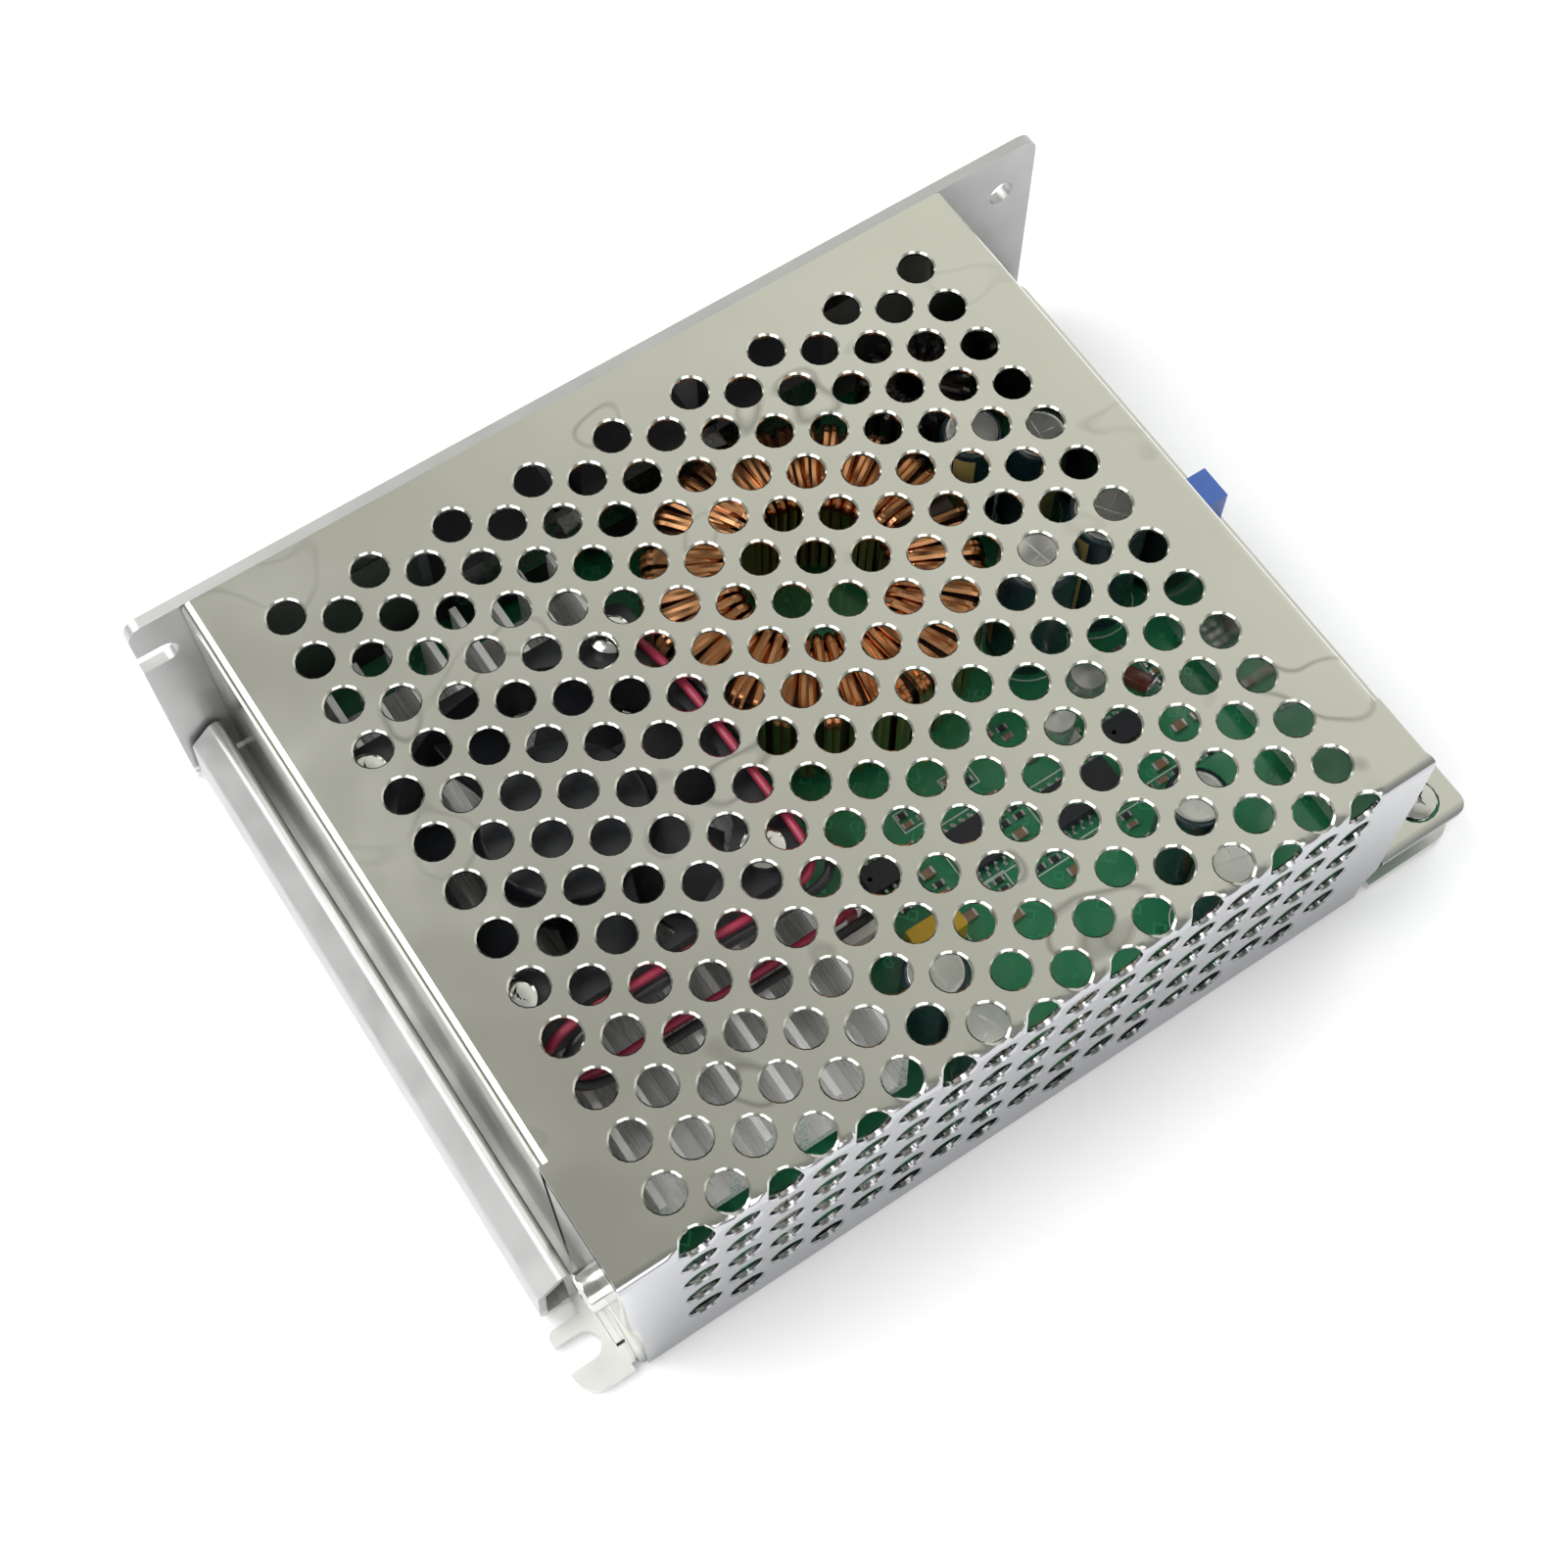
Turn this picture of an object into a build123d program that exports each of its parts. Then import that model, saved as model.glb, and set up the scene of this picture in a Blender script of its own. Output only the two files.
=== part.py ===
from build123d import *
import os
from math import pi, radians, sin, sqrt, tan

# Case, in millimetres: X runs to the terminal end, Y to the long wall, Z up from the base
CASE_LENGTH = 129.0
CASE_WIDTH = 97.0
CASE_HEIGHT = 38.0
CHASSIS_SHEET = 1.5
CHASSIS_BEND = 2.0
WALL_TOP = CASE_HEIGHT - 0.5
COVER_SHEET = 0.8
COVER_BEND = 1.2
COVER_GAP = 0.3
FOLD_SHARE = 0.55
SHELF_TOP = 8.0
SHELF_DEPTH = 15.0
COVER_INSET = 7.0
TOP_RELIEF_LEFT = 15.8
TOP_RELIEF_RIGHT = 9.8

# Perforation: rows run along X, every second row is shifted by half a step
HOLE_DIAMETER = 4.5
HOLE_STEP_X = 11.0
HOLE_STEP_Y = 6.75
HOLE_COLUMNS = 9
TOP_ROWS = 13
SIDE_ROWS = 4

# Faces of what is round: small fasteners and holes, cans, wound rings and the fan's bore
SMALL_SIDES = 8
CAN_SIDES = 10
RING_SIDES = 20
BORE_SIDES = 24

# Fixing holes of the case
EAR_HOLE = 3.6
EAR_HOLE_FROM_END = 5.0
EAR_HOLE_HEIGHT = 30.0
EAR_SLOT_FROM_SIDE = 5.4

# Screws: three millimetre thread, clearance holes and heads
SCREW = 2.9
SCREW_HOLE = 3.0
CLEARANCE_HOLE = 3.4
PAN_HEAD = 5.2
PAN_HEIGHT = 2.2
SUNK_HEAD = 5.4
SUNK_DEPTH = 1.2

# Circuit board on clinched standoffs
BOARD_BOTTOM = 5.0
BOARD_THICKNESS = 1.6
STANDOFF = 5.5
BOARD_MARGIN_LEFT = 10.2
BOARD_MARGIN_RIGHT = 2.5
BOARD_MARGIN_FRONT = 1.3
BOARD_MARGIN_BACK = 3.2

# Heatsink and fan
FIN_COUNT = 9
FIN_STEP = 32.0 / 7
FIN_ROOT = 1.3
FIN_TIP = 0.9
SINK_BOTTOM = 11.4
SINK_BASE = 2.0
SINK_TOP = 25.0
SINK_FRONT = -40.2
SINK_BACK = 36.3
FAN_X = -33.9
FAN_Y = 1.1
FAN_SIZE = 40.0
FAN_DEPTH = 10.0
FAN_BORE = 37.6
FAN_HOLES = 32.0
HUB = 20.0
BLADES = 7
BLADE_TIP = 17.9
BLADE_PITCH = 40.0
SHAFT = 1.5
SHAFT_PLAY = 0.05
WIRE = 1.2
WIRE_SIDES = 4

# Toroid inductor and the second, smaller choke
TOROID_X = 10.4
TOROID_Y = 17.2
CORE_OUTER = 40.0
CORE_INNER = 24.0
CORE_HEIGHT = 14.5
WINDING_OUTER = 43.5
WINDING_INNER = 15.0
WINDING_HEIGHT = 18.8
CHOKE_X = 39.5
CHOKE_Y = 36.5
CHOKE_OUTER = 16.0
CHOKE_INNER = 5.0
CHOKE_HEIGHT = 11.0

# Terminals and trimmer at the shelf
TERMINAL_FROM_END = 7.0
TERMINAL_PLACES = (35.3, 14.3, -7.7, -27.7)
CAGE_LENGTH = 8.2
CAGE_WIDTH = 9.6
CAGE_HEIGHT = 6.0
TRIMMER_LENGTH = 9.4
TRIMMER_WIDTH = 4.8
TRIMMER_TOP = 17.0
TRIMMER_Y = 2.5
TRIMMER_SCREW = 2.2
TRIMMER_PLAY = 0.05

# Values worked out from the driving ones
END = CASE_LENGTH / 2
SIDE = CASE_WIDTH / 2
BOARD_TOP = BOARD_BOTTOM + BOARD_THICKNESS
COVER_LEFT = -END + COVER_INSET
COVER_RIGHT = END - SHELF_DEPTH
COVER_BACK = SIDE - CHASSIS_SHEET - COVER_GAP
BOARD_LEFT = -END + BOARD_MARGIN_LEFT
BOARD_RIGHT = END - BOARD_MARGIN_RIGHT
BOARD_FRONT = -SIDE + BOARD_MARGIN_FRONT
BOARD_BACK = SIDE - BOARD_MARGIN_BACK
TRIMMER_X = END - 6.6
TERMINAL_X = END - TERMINAL_FROM_END
TAB_SCREW_Y = -SIDE + 7.3
TAB_SCREW_Z = 16.0
LUG_PLACES = (-34.0, 36.0)
LUG_SCREW_Z = 31.5
STANDOFF_PLACES = (
    (END - 5.2, -SIDE + 4.3),
    (END - 5.2, SIDE - 4.5),
    (-END + 14.0, SIDE - 6.0),
    (-END + 30.0, -SIDE + 4.4),
    (10.0, -SIDE + 4.4),
)


def block(x, y, z):
    """Box between the two ends given for each direction."""
    size = (x[1] - x[0], y[1] - y[0], z[1] - z[0])
    return Pos((x[0] + x[1]) / 2, (y[0] + y[1]) / 2, (z[0] + z[1]) / 2) * Box(*size)


def disc(x, y, z, radius):
    """Upright cylinder between two heights."""
    return Pos(x, y, (z[0] + z[1]) / 2) * Cylinder(radius, z[1] - z[0])


def even_radius(radius, sides):
    """Corner radius of the polygon that has the area of a circle."""
    return radius * sqrt(2 * pi / (sides * sin(2 * pi / sides)))


def column(x, y, z, radius, sides=SMALL_SIDES):
    """Upright prism that stands for a round post or hole with few faces."""
    outline = RegularPolygon(even_radius(radius, sides), sides)
    return Pos(x, y, z[0]) * extrude(outline, z[1] - z[0])


def sheet_section(points, thickness, bend):
    """Outline of a folded sheet round its middle line, each bend as one slanted flat."""
    line = [Vector(*points[0])]
    for before, here, after in zip(points, points[1:], points[2:]):
        back = Vector(*before) - Vector(*here)
        ahead = Vector(*after) - Vector(*here)
        turn = 180 - back.get_angle(ahead)
        cut = FOLD_SHARE * (bend - thickness / 2) * tan(radians(turn / 2))
        line.append(Vector(*here) + back.normalized() * cut)
        line.append(Vector(*here) + ahead.normalized() * cut)
    line.append(Vector(*points[-1]))
    runs = [(end - start).normalized() for start, end in zip(line, line[1:])]
    sides = [Vector(-run.Y, run.X) * thickness / 2 for run in runs]
    shifts = [sides[0]]
    for first, second in zip(sides, sides[1:]):
        shifts.append((first + second) / (1 + first.dot(second) / first.dot(first)))
    shifts.append(sides[-1])
    left = [point + shift for point, shift in zip(line, shifts)]
    right = [point - shift for point, shift in zip(line, shifts)]
    return make_face(Polyline(*left, *reversed(right), close=True))


def bent_along_x(points, thickness, bend, x):
    """Folded sheet whose middle line is drawn in Y and Z and which runs along X."""
    return Pos(x[0], 0, 0) * extrude(Plane.YZ * sheet_section(points, thickness, bend), x[1] - x[0])


def bent_along_y(points, thickness, bend, y):
    """Folded sheet whose middle line is drawn in X and Z and which runs along Y."""
    return Pos(0, y[1], 0) * extrude(Plane.XZ * sheet_section(points, thickness, bend), y[1] - y[0])


def corner_cut(a, b, radius, quadrant):
    """Triangle that a rounded corner takes away from a plate, as one slanted flat."""
    sa, sb = quadrant
    leg = radius * (2 - sqrt(2))
    out = 0.5
    return make_face(Polyline((a - sa * leg, b), (a - sa * leg, b + sb * out), (a + sa * out, b + sb * out),
                              (a + sa * out, b - sb * leg), (a, b - sb * leg), close=True))


def flat_corner(x, y, z, radius, quadrant):
    """Cut corner of a plate that lies flat."""
    return Pos(0, 0, z[0]) * extrude(corner_cut(x, y, radius, quadrant), z[1] - z[0], dir=(0, 0, 1))


def wall_corner(x, z, y, radius, quadrant):
    """Cut corner of a plate that stands in X and Z."""
    cut = Plane.XZ * corner_cut(x, z, radius, quadrant)
    return Pos(0, y[1], 0) * extrude(cut, y[1] - y[0], dir=(0, -1, 0))


def pan_screw(length, height=PAN_HEIGHT):
    """Pan head screw pointing down, underside of its head at the origin."""
    return column(0, 0, (0, height), PAN_HEAD / 2) + column(0, 0, (-length, 0), SCREW / 2)


def sunk_screw(length):
    """Sunk screw pointing down, top of its flush head at the origin."""
    return column(0, 0, (-SUNK_DEPTH, 0), SUNK_HEAD / 2) + column(0, 0, (-length, -SUNK_DEPTH), SCREW / 2)


# Chassis: one folded aluminium sheet
def end_channel():
    """Edge of the base folded up, over and down again at the left end."""
    half = CHASSIS_SHEET / 2
    outer = -END + 0.5 + half
    inner = COVER_LEFT - 1.4 - half
    points = ((outer + 3.0, half), (outer, half), (outer + 0.5, 7.9), (inner, 10.6), (inner, 1.8))
    return bent_along_y(points, CHASSIS_SHEET, CHASSIS_SHEET + 0.3, (-SIDE + 11.3, SIDE - 2.1))


def lanced_tab():
    """Tab lanced out of the base that the cover's corner is screwed to, with its window."""
    half = CHASSIS_SHEET / 2
    x = COVER_LEFT + COVER_SHEET + half
    y = (TAB_SCREW_Y - 3.6, TAB_SCREW_Y + 3.6)
    top = TAB_SCREW_Z + 4.5
    tab = bent_along_y(((x - 2.5, half), (x, half), (x, top)), CHASSIS_SHEET, CHASSIS_BEND, y)
    hole = Pos(x, TAB_SCREW_Y, TAB_SCREW_Z) * Rot(0, 90, 0) * column(0, 0, (-3, 3), SCREW_HOLE / 2)
    window = block((x - 2.4, x + top - 2.0), (y[0] - 0.4, y[1] + 0.4), (-1, 2.5))
    return tab - hole, window


def ear_slots():
    """Two slots, open to the left: one in the base ear and one in the long wall."""
    y = -SIDE + EAR_SLOT_FROM_SIDE
    x = -END + EAR_HOLE_FROM_END - EAR_HOLE / 2
    radius = EAR_HOLE / 2
    base = block((-END - 1, x), (y - radius, y + radius), (-1, 3))
    base += column(x, y, (-1, 3), radius, CAN_SIDES)
    z = EAR_HOLE_HEIGHT
    wall = block((-END - 1, x), (SIDE - 3, SIDE + 1), (z - radius, z + radius))
    wall += Pos(x, SIDE - 1, z) * Rot(90, 0, 0) * column(0, 0, (-3, 3), radius, CAN_SIDES)
    return base + wall


def chassis_holes():
    """Ear hole, six-sided clinch holes and the wall's screw holes."""
    wall = Rot(90, 0, 0) * Cylinder(EAR_HOLE / 2, 6)
    holes = [Pos(END - EAR_HOLE_FROM_END, SIDE - 1, EAR_HOLE_HEIGHT) * wall]
    holes += [column(x, y, (-1, 3), STANDOFF / 2, 6) for x, y in STANDOFF_PLACES]
    tapped = Rot(90, 0, 0) * column(0, 0, (-4, 4), SCREW_HOLE / 2)
    holes += [Pos(x, SIDE - 1, CLAMP_SCREW_Z) * tapped for x in CLAMP_PLACES]
    for x in LUG_PLACES:
        holes.append(Pos(x, SIDE - 1, LUG_SCREW_Z) * tapped)
        sink = column(0, 0, (-SUNK_DEPTH, 1), SUNK_HEAD / 2 + 0.05)
        holes.append(Pos(x, SIDE, LUG_SCREW_Z) * Rot(-90, 0, 0) * sink)
    return holes


def chassis():
    """Base plate, long wall, end channel and lanced tab as one folded sheet."""
    half = CHASSIS_SHEET / 2
    section = ((-SIDE, half), (SIDE - half, half), (SIDE - half, WALL_TOP))
    body = bent_along_x(section, CHASSIS_SHEET, CHASSIS_BEND, (-END, END))
    body -= block((COVER_LEFT - 0.5, COVER_RIGHT + 0.7), (-SIDE - 1, -SIDE + COVER_SHEET + 0.1), (-1, 3))
    body -= block((-END - 1, -END + 3.5), (-SIDE + 11.3, SIDE - 2.1), (-1, 3))
    body -= block((-END - 1, -END + 4.5), (-SIDE + 9.1, -SIDE + 11.3), (-1, 3))
    tab, window = lanced_tab()
    body = body - window + tab + end_channel()
    z = (-1, 3)
    corners = [flat_corner(END, -SIDE, z, 3.5, (1, -1)), flat_corner(-END, -SIDE, z, 3.0, (-1, -1))]
    corners.append(flat_corner(-END, -SIDE + 9.1, z, 1.0, (-1, 1)))
    y = (SIDE - 3, SIDE + 1)
    corners.append(wall_corner(END, WALL_TOP, y, 2.0, (1, 1)))
    corners.append(wall_corner(-END, WALL_TOP, y, 2.0, (-1, 1)))
    return body - corners - [ear_slots()] - chassis_holes()


# Cover: one folded and perforated steel sheet
def hole_prism(depth):
    """Square punch with the area of the round hole, along Z."""
    side = HOLE_DIAMETER * sqrt(pi) / 2
    return Box(side, side, depth)


def row_places(row):
    """X of each hole in a row, which is counted in halves."""
    first = 0.0 if float(row).is_integer() else 0.5
    count = HOLE_COLUMNS if first == 0.0 else HOLE_COLUMNS - 1
    centre = (COVER_LEFT + COVER_RIGHT) / 2
    start = centre + (HOLE_COLUMNS - 1) / 2 * HOLE_STEP_X
    return [start - HOLE_STEP_X * (first + number) for number in range(count)]


def top_row_y(row):
    return SIDE - 9.7 - HOLE_STEP_Y * row


def side_row_z(row):
    return CASE_HEIGHT - (row - TOP_ROWS + 0.15) * HOLE_STEP_Y


def punches():
    """All punches of the top, the fold and the side wall."""
    down = hole_prism(6 * COVER_SHEET)
    fold = hole_prism(2.6)
    across = Rot(90, 0, 0) * hole_prism(6 * COVER_SHEET)
    found = []
    for half_row in range(2 * TOP_ROWS):
        row = half_row / 2
        found += [Pos(x, top_row_y(row), CASE_HEIGHT) * down for x in row_places(row)]
    for x in row_places(TOP_ROWS):
        found.append(Pos(x, top_row_y(TOP_ROWS), CASE_HEIGHT - 0.5) * fold)
        found.append(Pos(x, -SIDE, side_row_z(TOP_ROWS)) * across)
    for half_row in range(2 * TOP_ROWS + 1, 2 * (TOP_ROWS + SIDE_ROWS) + 2):
        row = half_row / 2
        found += [Pos(x, -SIDE, side_row_z(row)) * across for x in row_places(row)]
    return found


def cover_blank():
    """Top and side wall with the fold between them."""
    half = COVER_SHEET / 2
    section = ((COVER_BACK, CASE_HEIGHT - half), (-SIDE + half, CASE_HEIGHT - half), (-SIDE + half, 0.3))
    blank = bent_along_x(section, COVER_SHEET, COVER_BEND, (COVER_LEFT, COVER_RIGHT + 0.5))
    high = (CASE_HEIGHT - 2, CASE_HEIGHT + 1)
    blank -= block((COVER_RIGHT, COVER_RIGHT + 1), (-SIDE + COVER_BEND, SIDE), high)
    relief = -SIDE + TOP_RELIEF_RIGHT
    blank -= block((COVER_RIGHT - COVER_BEND, COVER_RIGHT + 1), (relief, SIDE), high)
    relief = -SIDE + TOP_RELIEF_LEFT
    blank -= block((COVER_LEFT - 1, COVER_LEFT + COVER_BEND), (relief, SIDE), high)
    low = (-1, CASE_HEIGHT - 2.0)
    blank -= block((COVER_LEFT - 1, COVER_LEFT + COVER_BEND), (-SIDE - 1, -SIDE + 2), low)
    foot = Polyline((COVER_RIGHT + 1, 7.0), (COVER_RIGHT + 0.5, 7.0), (COVER_RIGHT - 1.4, 4.0),
                    (COVER_RIGHT - 1.4, -1), (COVER_RIGHT + 1, -1), close=True)
    return blank - Pos(0, -SIDE + 2, 0) * extrude(Plane.XZ * make_face(foot), 4)


def corner_tab():
    """Tab of the side wall that is folded round the left front corner."""
    half = COVER_SHEET / 2
    reach = -SIDE + TOP_RELIEF_LEFT - 1.0
    points = ((COVER_LEFT + 2.5, -SIDE + half), (COVER_LEFT + half, -SIDE + half), (COVER_LEFT + half, reach))
    low = CHASSIS_SHEET + 0.2
    section = sheet_section(points, COVER_SHEET, COVER_BEND)
    tab = Pos(0, 0, low) * extrude(section, CASE_HEIGHT - 2.5 - low)
    place = Pos(COVER_LEFT, TAB_SCREW_Y, TAB_SCREW_Z) * Rot(0, 90, 0)
    return tab - place * column(0, 0, (-2, 2), CLEARANCE_HOLE / 2)


def end_walls():
    """Left wall, right wall that turns out into the shelf, and the low wall at the corner."""
    half = COVER_SHEET / 2
    top = CASE_HEIGHT - half
    left = ((COVER_LEFT + 3, top), (COVER_LEFT + half, top), (COVER_LEFT + half, CHASSIS_SHEET + 0.2))
    walls = bent_along_y(left, COVER_SHEET, COVER_BEND, (-SIDE + TOP_RELIEF_LEFT, COVER_BACK))
    x = COVER_RIGHT - half
    shelf = SHELF_TOP - half
    right = ((x - 3, top), (x, top), (x, shelf), (END, shelf))
    walls += bent_along_y(right, COVER_SHEET, COVER_BEND, (-SIDE + TOP_RELIEF_RIGHT, COVER_BACK))
    low = ((x, CASE_HEIGHT - 4), (x, shelf), (END, shelf))
    front = -SIDE + COVER_SHEET + 0.2
    walls += bent_along_y(low, COVER_SHEET, COVER_BEND, (front, -SIDE + TOP_RELIEF_RIGHT))
    return walls + block((COVER_RIGHT + 0.8, END), (-SIDE, front), (SHELF_TOP - COVER_SHEET, SHELF_TOP))


def shelf_windows():
    """Windows of the shelf for the terminals, the trimmer and one board screw."""
    z = (SHELF_TOP - 2, SHELF_TOP + 1)
    x = (COVER_RIGHT + 1.4, END - 1.8)
    cuts = [block(x, (y - 6.2, y + 6.2), z) for y in TERMINAL_PLACES]
    cuts.append(block(x, (TRIMMER_Y - 3.0, TRIMMER_Y + 3.0), z))
    cuts += [column(*place, z, 3.0, CAN_SIDES) for place in STANDOFF_PLACES[:2]]
    cuts.append(flat_corner(END, -SIDE, z, 1.8, (1, -1)))
    cuts.append(flat_corner(END, COVER_BACK, z, 1.8, (1, 1)))
    return cuts


def wall_lug(x):
    """Lug folded down behind the long wall, with its tapped hole."""
    half = COVER_SHEET / 2
    y = COVER_BACK - half
    points = ((y - 3, CASE_HEIGHT - half), (y, CASE_HEIGHT - half), (y, LUG_SCREW_Z - 4.5))
    lug = bent_along_x(points, COVER_SHEET, COVER_BEND, (x - 6, x + 6))
    return lug - Pos(x, y, LUG_SCREW_Z) * Rot(90, 0, 0) * column(0, 0, (-3, 3), SCREW_HOLE / 2)


def cover():
    """Perforated top and side wall, end walls, shelf, corner tab and lugs as one sheet."""
    blank = cover_blank()
    for x in LUG_PLACES:
        blank -= block((x - 6, x + 6), (COVER_BACK - COVER_BEND, SIDE), (CASE_HEIGHT - 2, CASE_HEIGHT + 1))
    body = blank + [end_walls(), corner_tab()] + [wall_lug(x) for x in LUG_PLACES]
    return body - shelf_windows() - punches()


def cover_screws():
    """Pan head screw of the corner tab and two countersunk screws of the long wall."""
    place = Pos(COVER_LEFT, TAB_SCREW_Y, TAB_SCREW_Z) * Rot(0, -90, 0)
    found = [place * pan_screw(4.0)]
    for x in LUG_PLACES:
        found.append(Pos(x, SIDE, LUG_SCREW_Z) * Rot(-90, 0, 0) * sunk_screw(4.0))
    return Compound(found)


# Circuit board and its fixings
def board_standoffs():
    """Six-sided clinched standoffs, their ends flush in the base."""
    found = []
    for x, y in STANDOFF_PLACES:
        post = column(x, y, (0, BOARD_BOTTOM), STANDOFF / 2 - 0.02, 6)
        found.append(post - column(x, y, (-1, BOARD_BOTTOM + 1), SCREW_HOLE / 2))
    return Compound(found)


def circuit_board():
    """Board with the holes of its screws."""
    board = block((BOARD_LEFT, BOARD_RIGHT), (BOARD_FRONT, BOARD_BACK), (BOARD_BOTTOM, BOARD_TOP))
    return board - [column(x, y, (4, 8), SCREW_HOLE / 2 + 0.1) for x, y in STANDOFF_PLACES]


def board_screws():
    return Compound([Pos(x, y, BOARD_TOP) * pan_screw(5.4) for x, y in STANDOFF_PLACES])


# Heatsink over the switching transistors
def sink_places():
    """Four fixing places, in the gaps between fins."""
    offset = FAN_HOLES / 2
    return [(FAN_X + sx * offset, y) for sx in (-1, 1) for y in (SINK_FRONT + 5.2, SINK_BACK - 5.3)]


def heatsink():
    """Extruded comb with tapered fins."""
    first = FAN_X - FAN_HOLES / 2 - FIN_STEP / 2
    last = first + (FIN_COUNT - 1) * FIN_STEP
    floor = SINK_BOTTOM + SINK_BASE
    comb = Pos((first + last) / 2, (SINK_BOTTOM + floor) / 2) * Rectangle(last - first + 1.4, SINK_BASE)
    for number in range(FIN_COUNT):
        x = first + number * FIN_STEP
        fin = Polyline((x - FIN_ROOT / 2, floor - 0.5), (x + FIN_ROOT / 2, floor - 0.5),
                       (x + FIN_TIP / 2, SINK_TOP), (x - FIN_TIP / 2, SINK_TOP), close=True)
        comb += make_face(fin)
    return Pos(0, SINK_BACK, 0) * extrude(Plane.XZ * comb, SINK_BACK - SINK_FRONT)


def heatsink_pins():
    """Six-sided pins pressed under the heatsink and soldered to the board."""
    return Compound([column(x, y, (BOARD_TOP, SINK_BOTTOM), 2.2, 6) for x, y in sink_places()])


def switch_transistors():
    """Four flat power transistors: moulded body, metal tab and three leads in one outline."""
    found = []
    for x in (FAN_X - 9, FAN_X + 9):
        for y in (-18.0, 14.0):
            body = block((x - 5, x + 5), (y - 4.5, y + 4.5), (BOARD_TOP, SINK_BOTTOM - 0.3))
            body += block((x - 4.2, x + 4.2), (y + 4.5, y + 6), (BOARD_TOP, BOARD_TOP + 1.3))
            found.append(body + block((x - 4, x + 4), (y - 8, y - 4.5), (BOARD_TOP, BOARD_TOP + 0.7)))
    return Compound(found)


def thermal_pad():
    return block((FAN_X - 15, FAN_X + 15), (-24, 20), (SINK_BOTTOM - 0.3, SINK_BOTTOM))


# Power devices clamped on the long wall
DEVICE_PLACES = (-19.5, 0.5, 20.5)
DEVICE_THICKNESS = 4.8
DEVICE_WIDTH = 15.8
DEVICE_FOOT = 8.4
DEVICE_HEIGHT = 20.8
INSULATOR = 0.3
CLAMP_SHEET = 1.0
LOW_HEAD = 1.3
CLAMP_PLACES = (-9.5, 10.5)
CLAMP_SCREW_Z = 19.0
WALL_FACE = SIDE - CHASSIS_SHEET
DEVICE_FRONT = WALL_FACE - INSULATOR - DEVICE_THICKNESS


def wall_insulator():
    pad = block((-28.6, 29.6), (WALL_FACE - INSULATOR, WALL_FACE), (DEVICE_FOOT - 0.4, 29.8))
    tool = Rot(90, 0, 0) * column(0, 0, (-2, 2), SCREW_HOLE / 2 + 0.1)
    return pad - [Pos(x, WALL_FACE, CLAMP_SCREW_Z) * tool for x in CLAMP_PLACES]


def wall_devices():
    """Three moulded devices, each with its three leads down to the board."""
    back = DEVICE_FRONT + DEVICE_THICKNESS
    found = []
    for x in DEVICE_PLACES:
        half = DEVICE_WIDTH / 2
        body = block((x - half, x + half), (DEVICE_FRONT, back), (DEVICE_FOOT, DEVICE_FOOT + DEVICE_HEIGHT))
        for step in (-5.45, 0, 5.45):
            y = BOARD_BACK - 1.6
            body += block((x + step - 0.6, x + step + 0.6), (y - 0.3, y + 0.3), (BOARD_TOP, DEVICE_FOOT))
        found.append(body)
    return Compound(found)


def clamp_bar():
    bar = block((-27, 28), (DEVICE_FRONT - CLAMP_SHEET, DEVICE_FRONT), (CLAMP_SCREW_Z - 4, CLAMP_SCREW_Z + 4))
    bar = chamfer(bar.edges().filter_by(Axis.Y), 1.5)
    tool = Rot(90, 0, 0) * column(0, 0, (-2, 2), CLEARANCE_HOLE / 2)
    return bar - [Pos(x, DEVICE_FRONT, CLAMP_SCREW_Z) * tool for x in CLAMP_PLACES]


def clamp_screws():
    """Low head screws through the bar, between the devices, into the wall's threads."""
    front = DEVICE_FRONT - CLAMP_SHEET
    screw = Rot(90, 0, 0) * pan_screw(SIDE - 0.2 - front, LOW_HEAD)
    return Compound([Pos(x, front, CLAMP_SCREW_Z) * screw for x in CLAMP_PLACES])


# Fan on top of the heatsink
FAN_BOTTOM = SINK_TOP
FAN_TOP = SINK_TOP + FAN_DEPTH
BOSS = 2.8
BEARING = 2.0


def fan_frame():
    """Square frame with its bore, corner holes, struts, bearing boss and wire recess."""
    half = FAN_SIZE / 2
    outline = chamfer(Rectangle(FAN_SIZE, FAN_SIZE).vertices(), 1.6)
    bore = RegularPolygon(even_radius(FAN_BORE / 2, BORE_SIDES), BORE_SIDES)
    body = extrude(outline - bore, FAN_DEPTH)
    hub = column(0, 0, (0, 1.4), HUB / 2, RING_SIDES) + column(0, 0, (1.4, 4.4), BOSS, CAN_SIDES)
    struts = [Rot(0, 0, angle) * block((9, 19.3), (-1, 1), (0, 1.4)) for angle in (20, 110, 200, 290)]
    body = body + [hub] + struts - column(0, 0, (0.5, 7), BEARING, CAN_SIDES)
    corner = FAN_HOLES / 2
    for sx in (-1, 1):
        for sy in (-1, 1):
            body -= column(sx * corner, sy * corner, (-1, 11), 1.7)
    recess = block((half - 2.0, half + 1), (7.0, 16.0), (5.8, FAN_DEPTH + 1))
    return Pos(FAN_X, FAN_Y, FAN_BOTTOM) * (body - recess)


def fan_blade():
    """One pitched blade, cut to the bore's curve at its tip."""
    blade = Rot(90 - BLADE_PITCH, 0, 0) * block((HUB / 2 - 1, BLADE_TIP), (-0.45, 0.45), (-4.6, 4.6))
    return Pos(0, 0, 5.5) * blade & column(0, 0, (1.9, 9.1), BLADE_TIP, BORE_SIDES)


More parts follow.
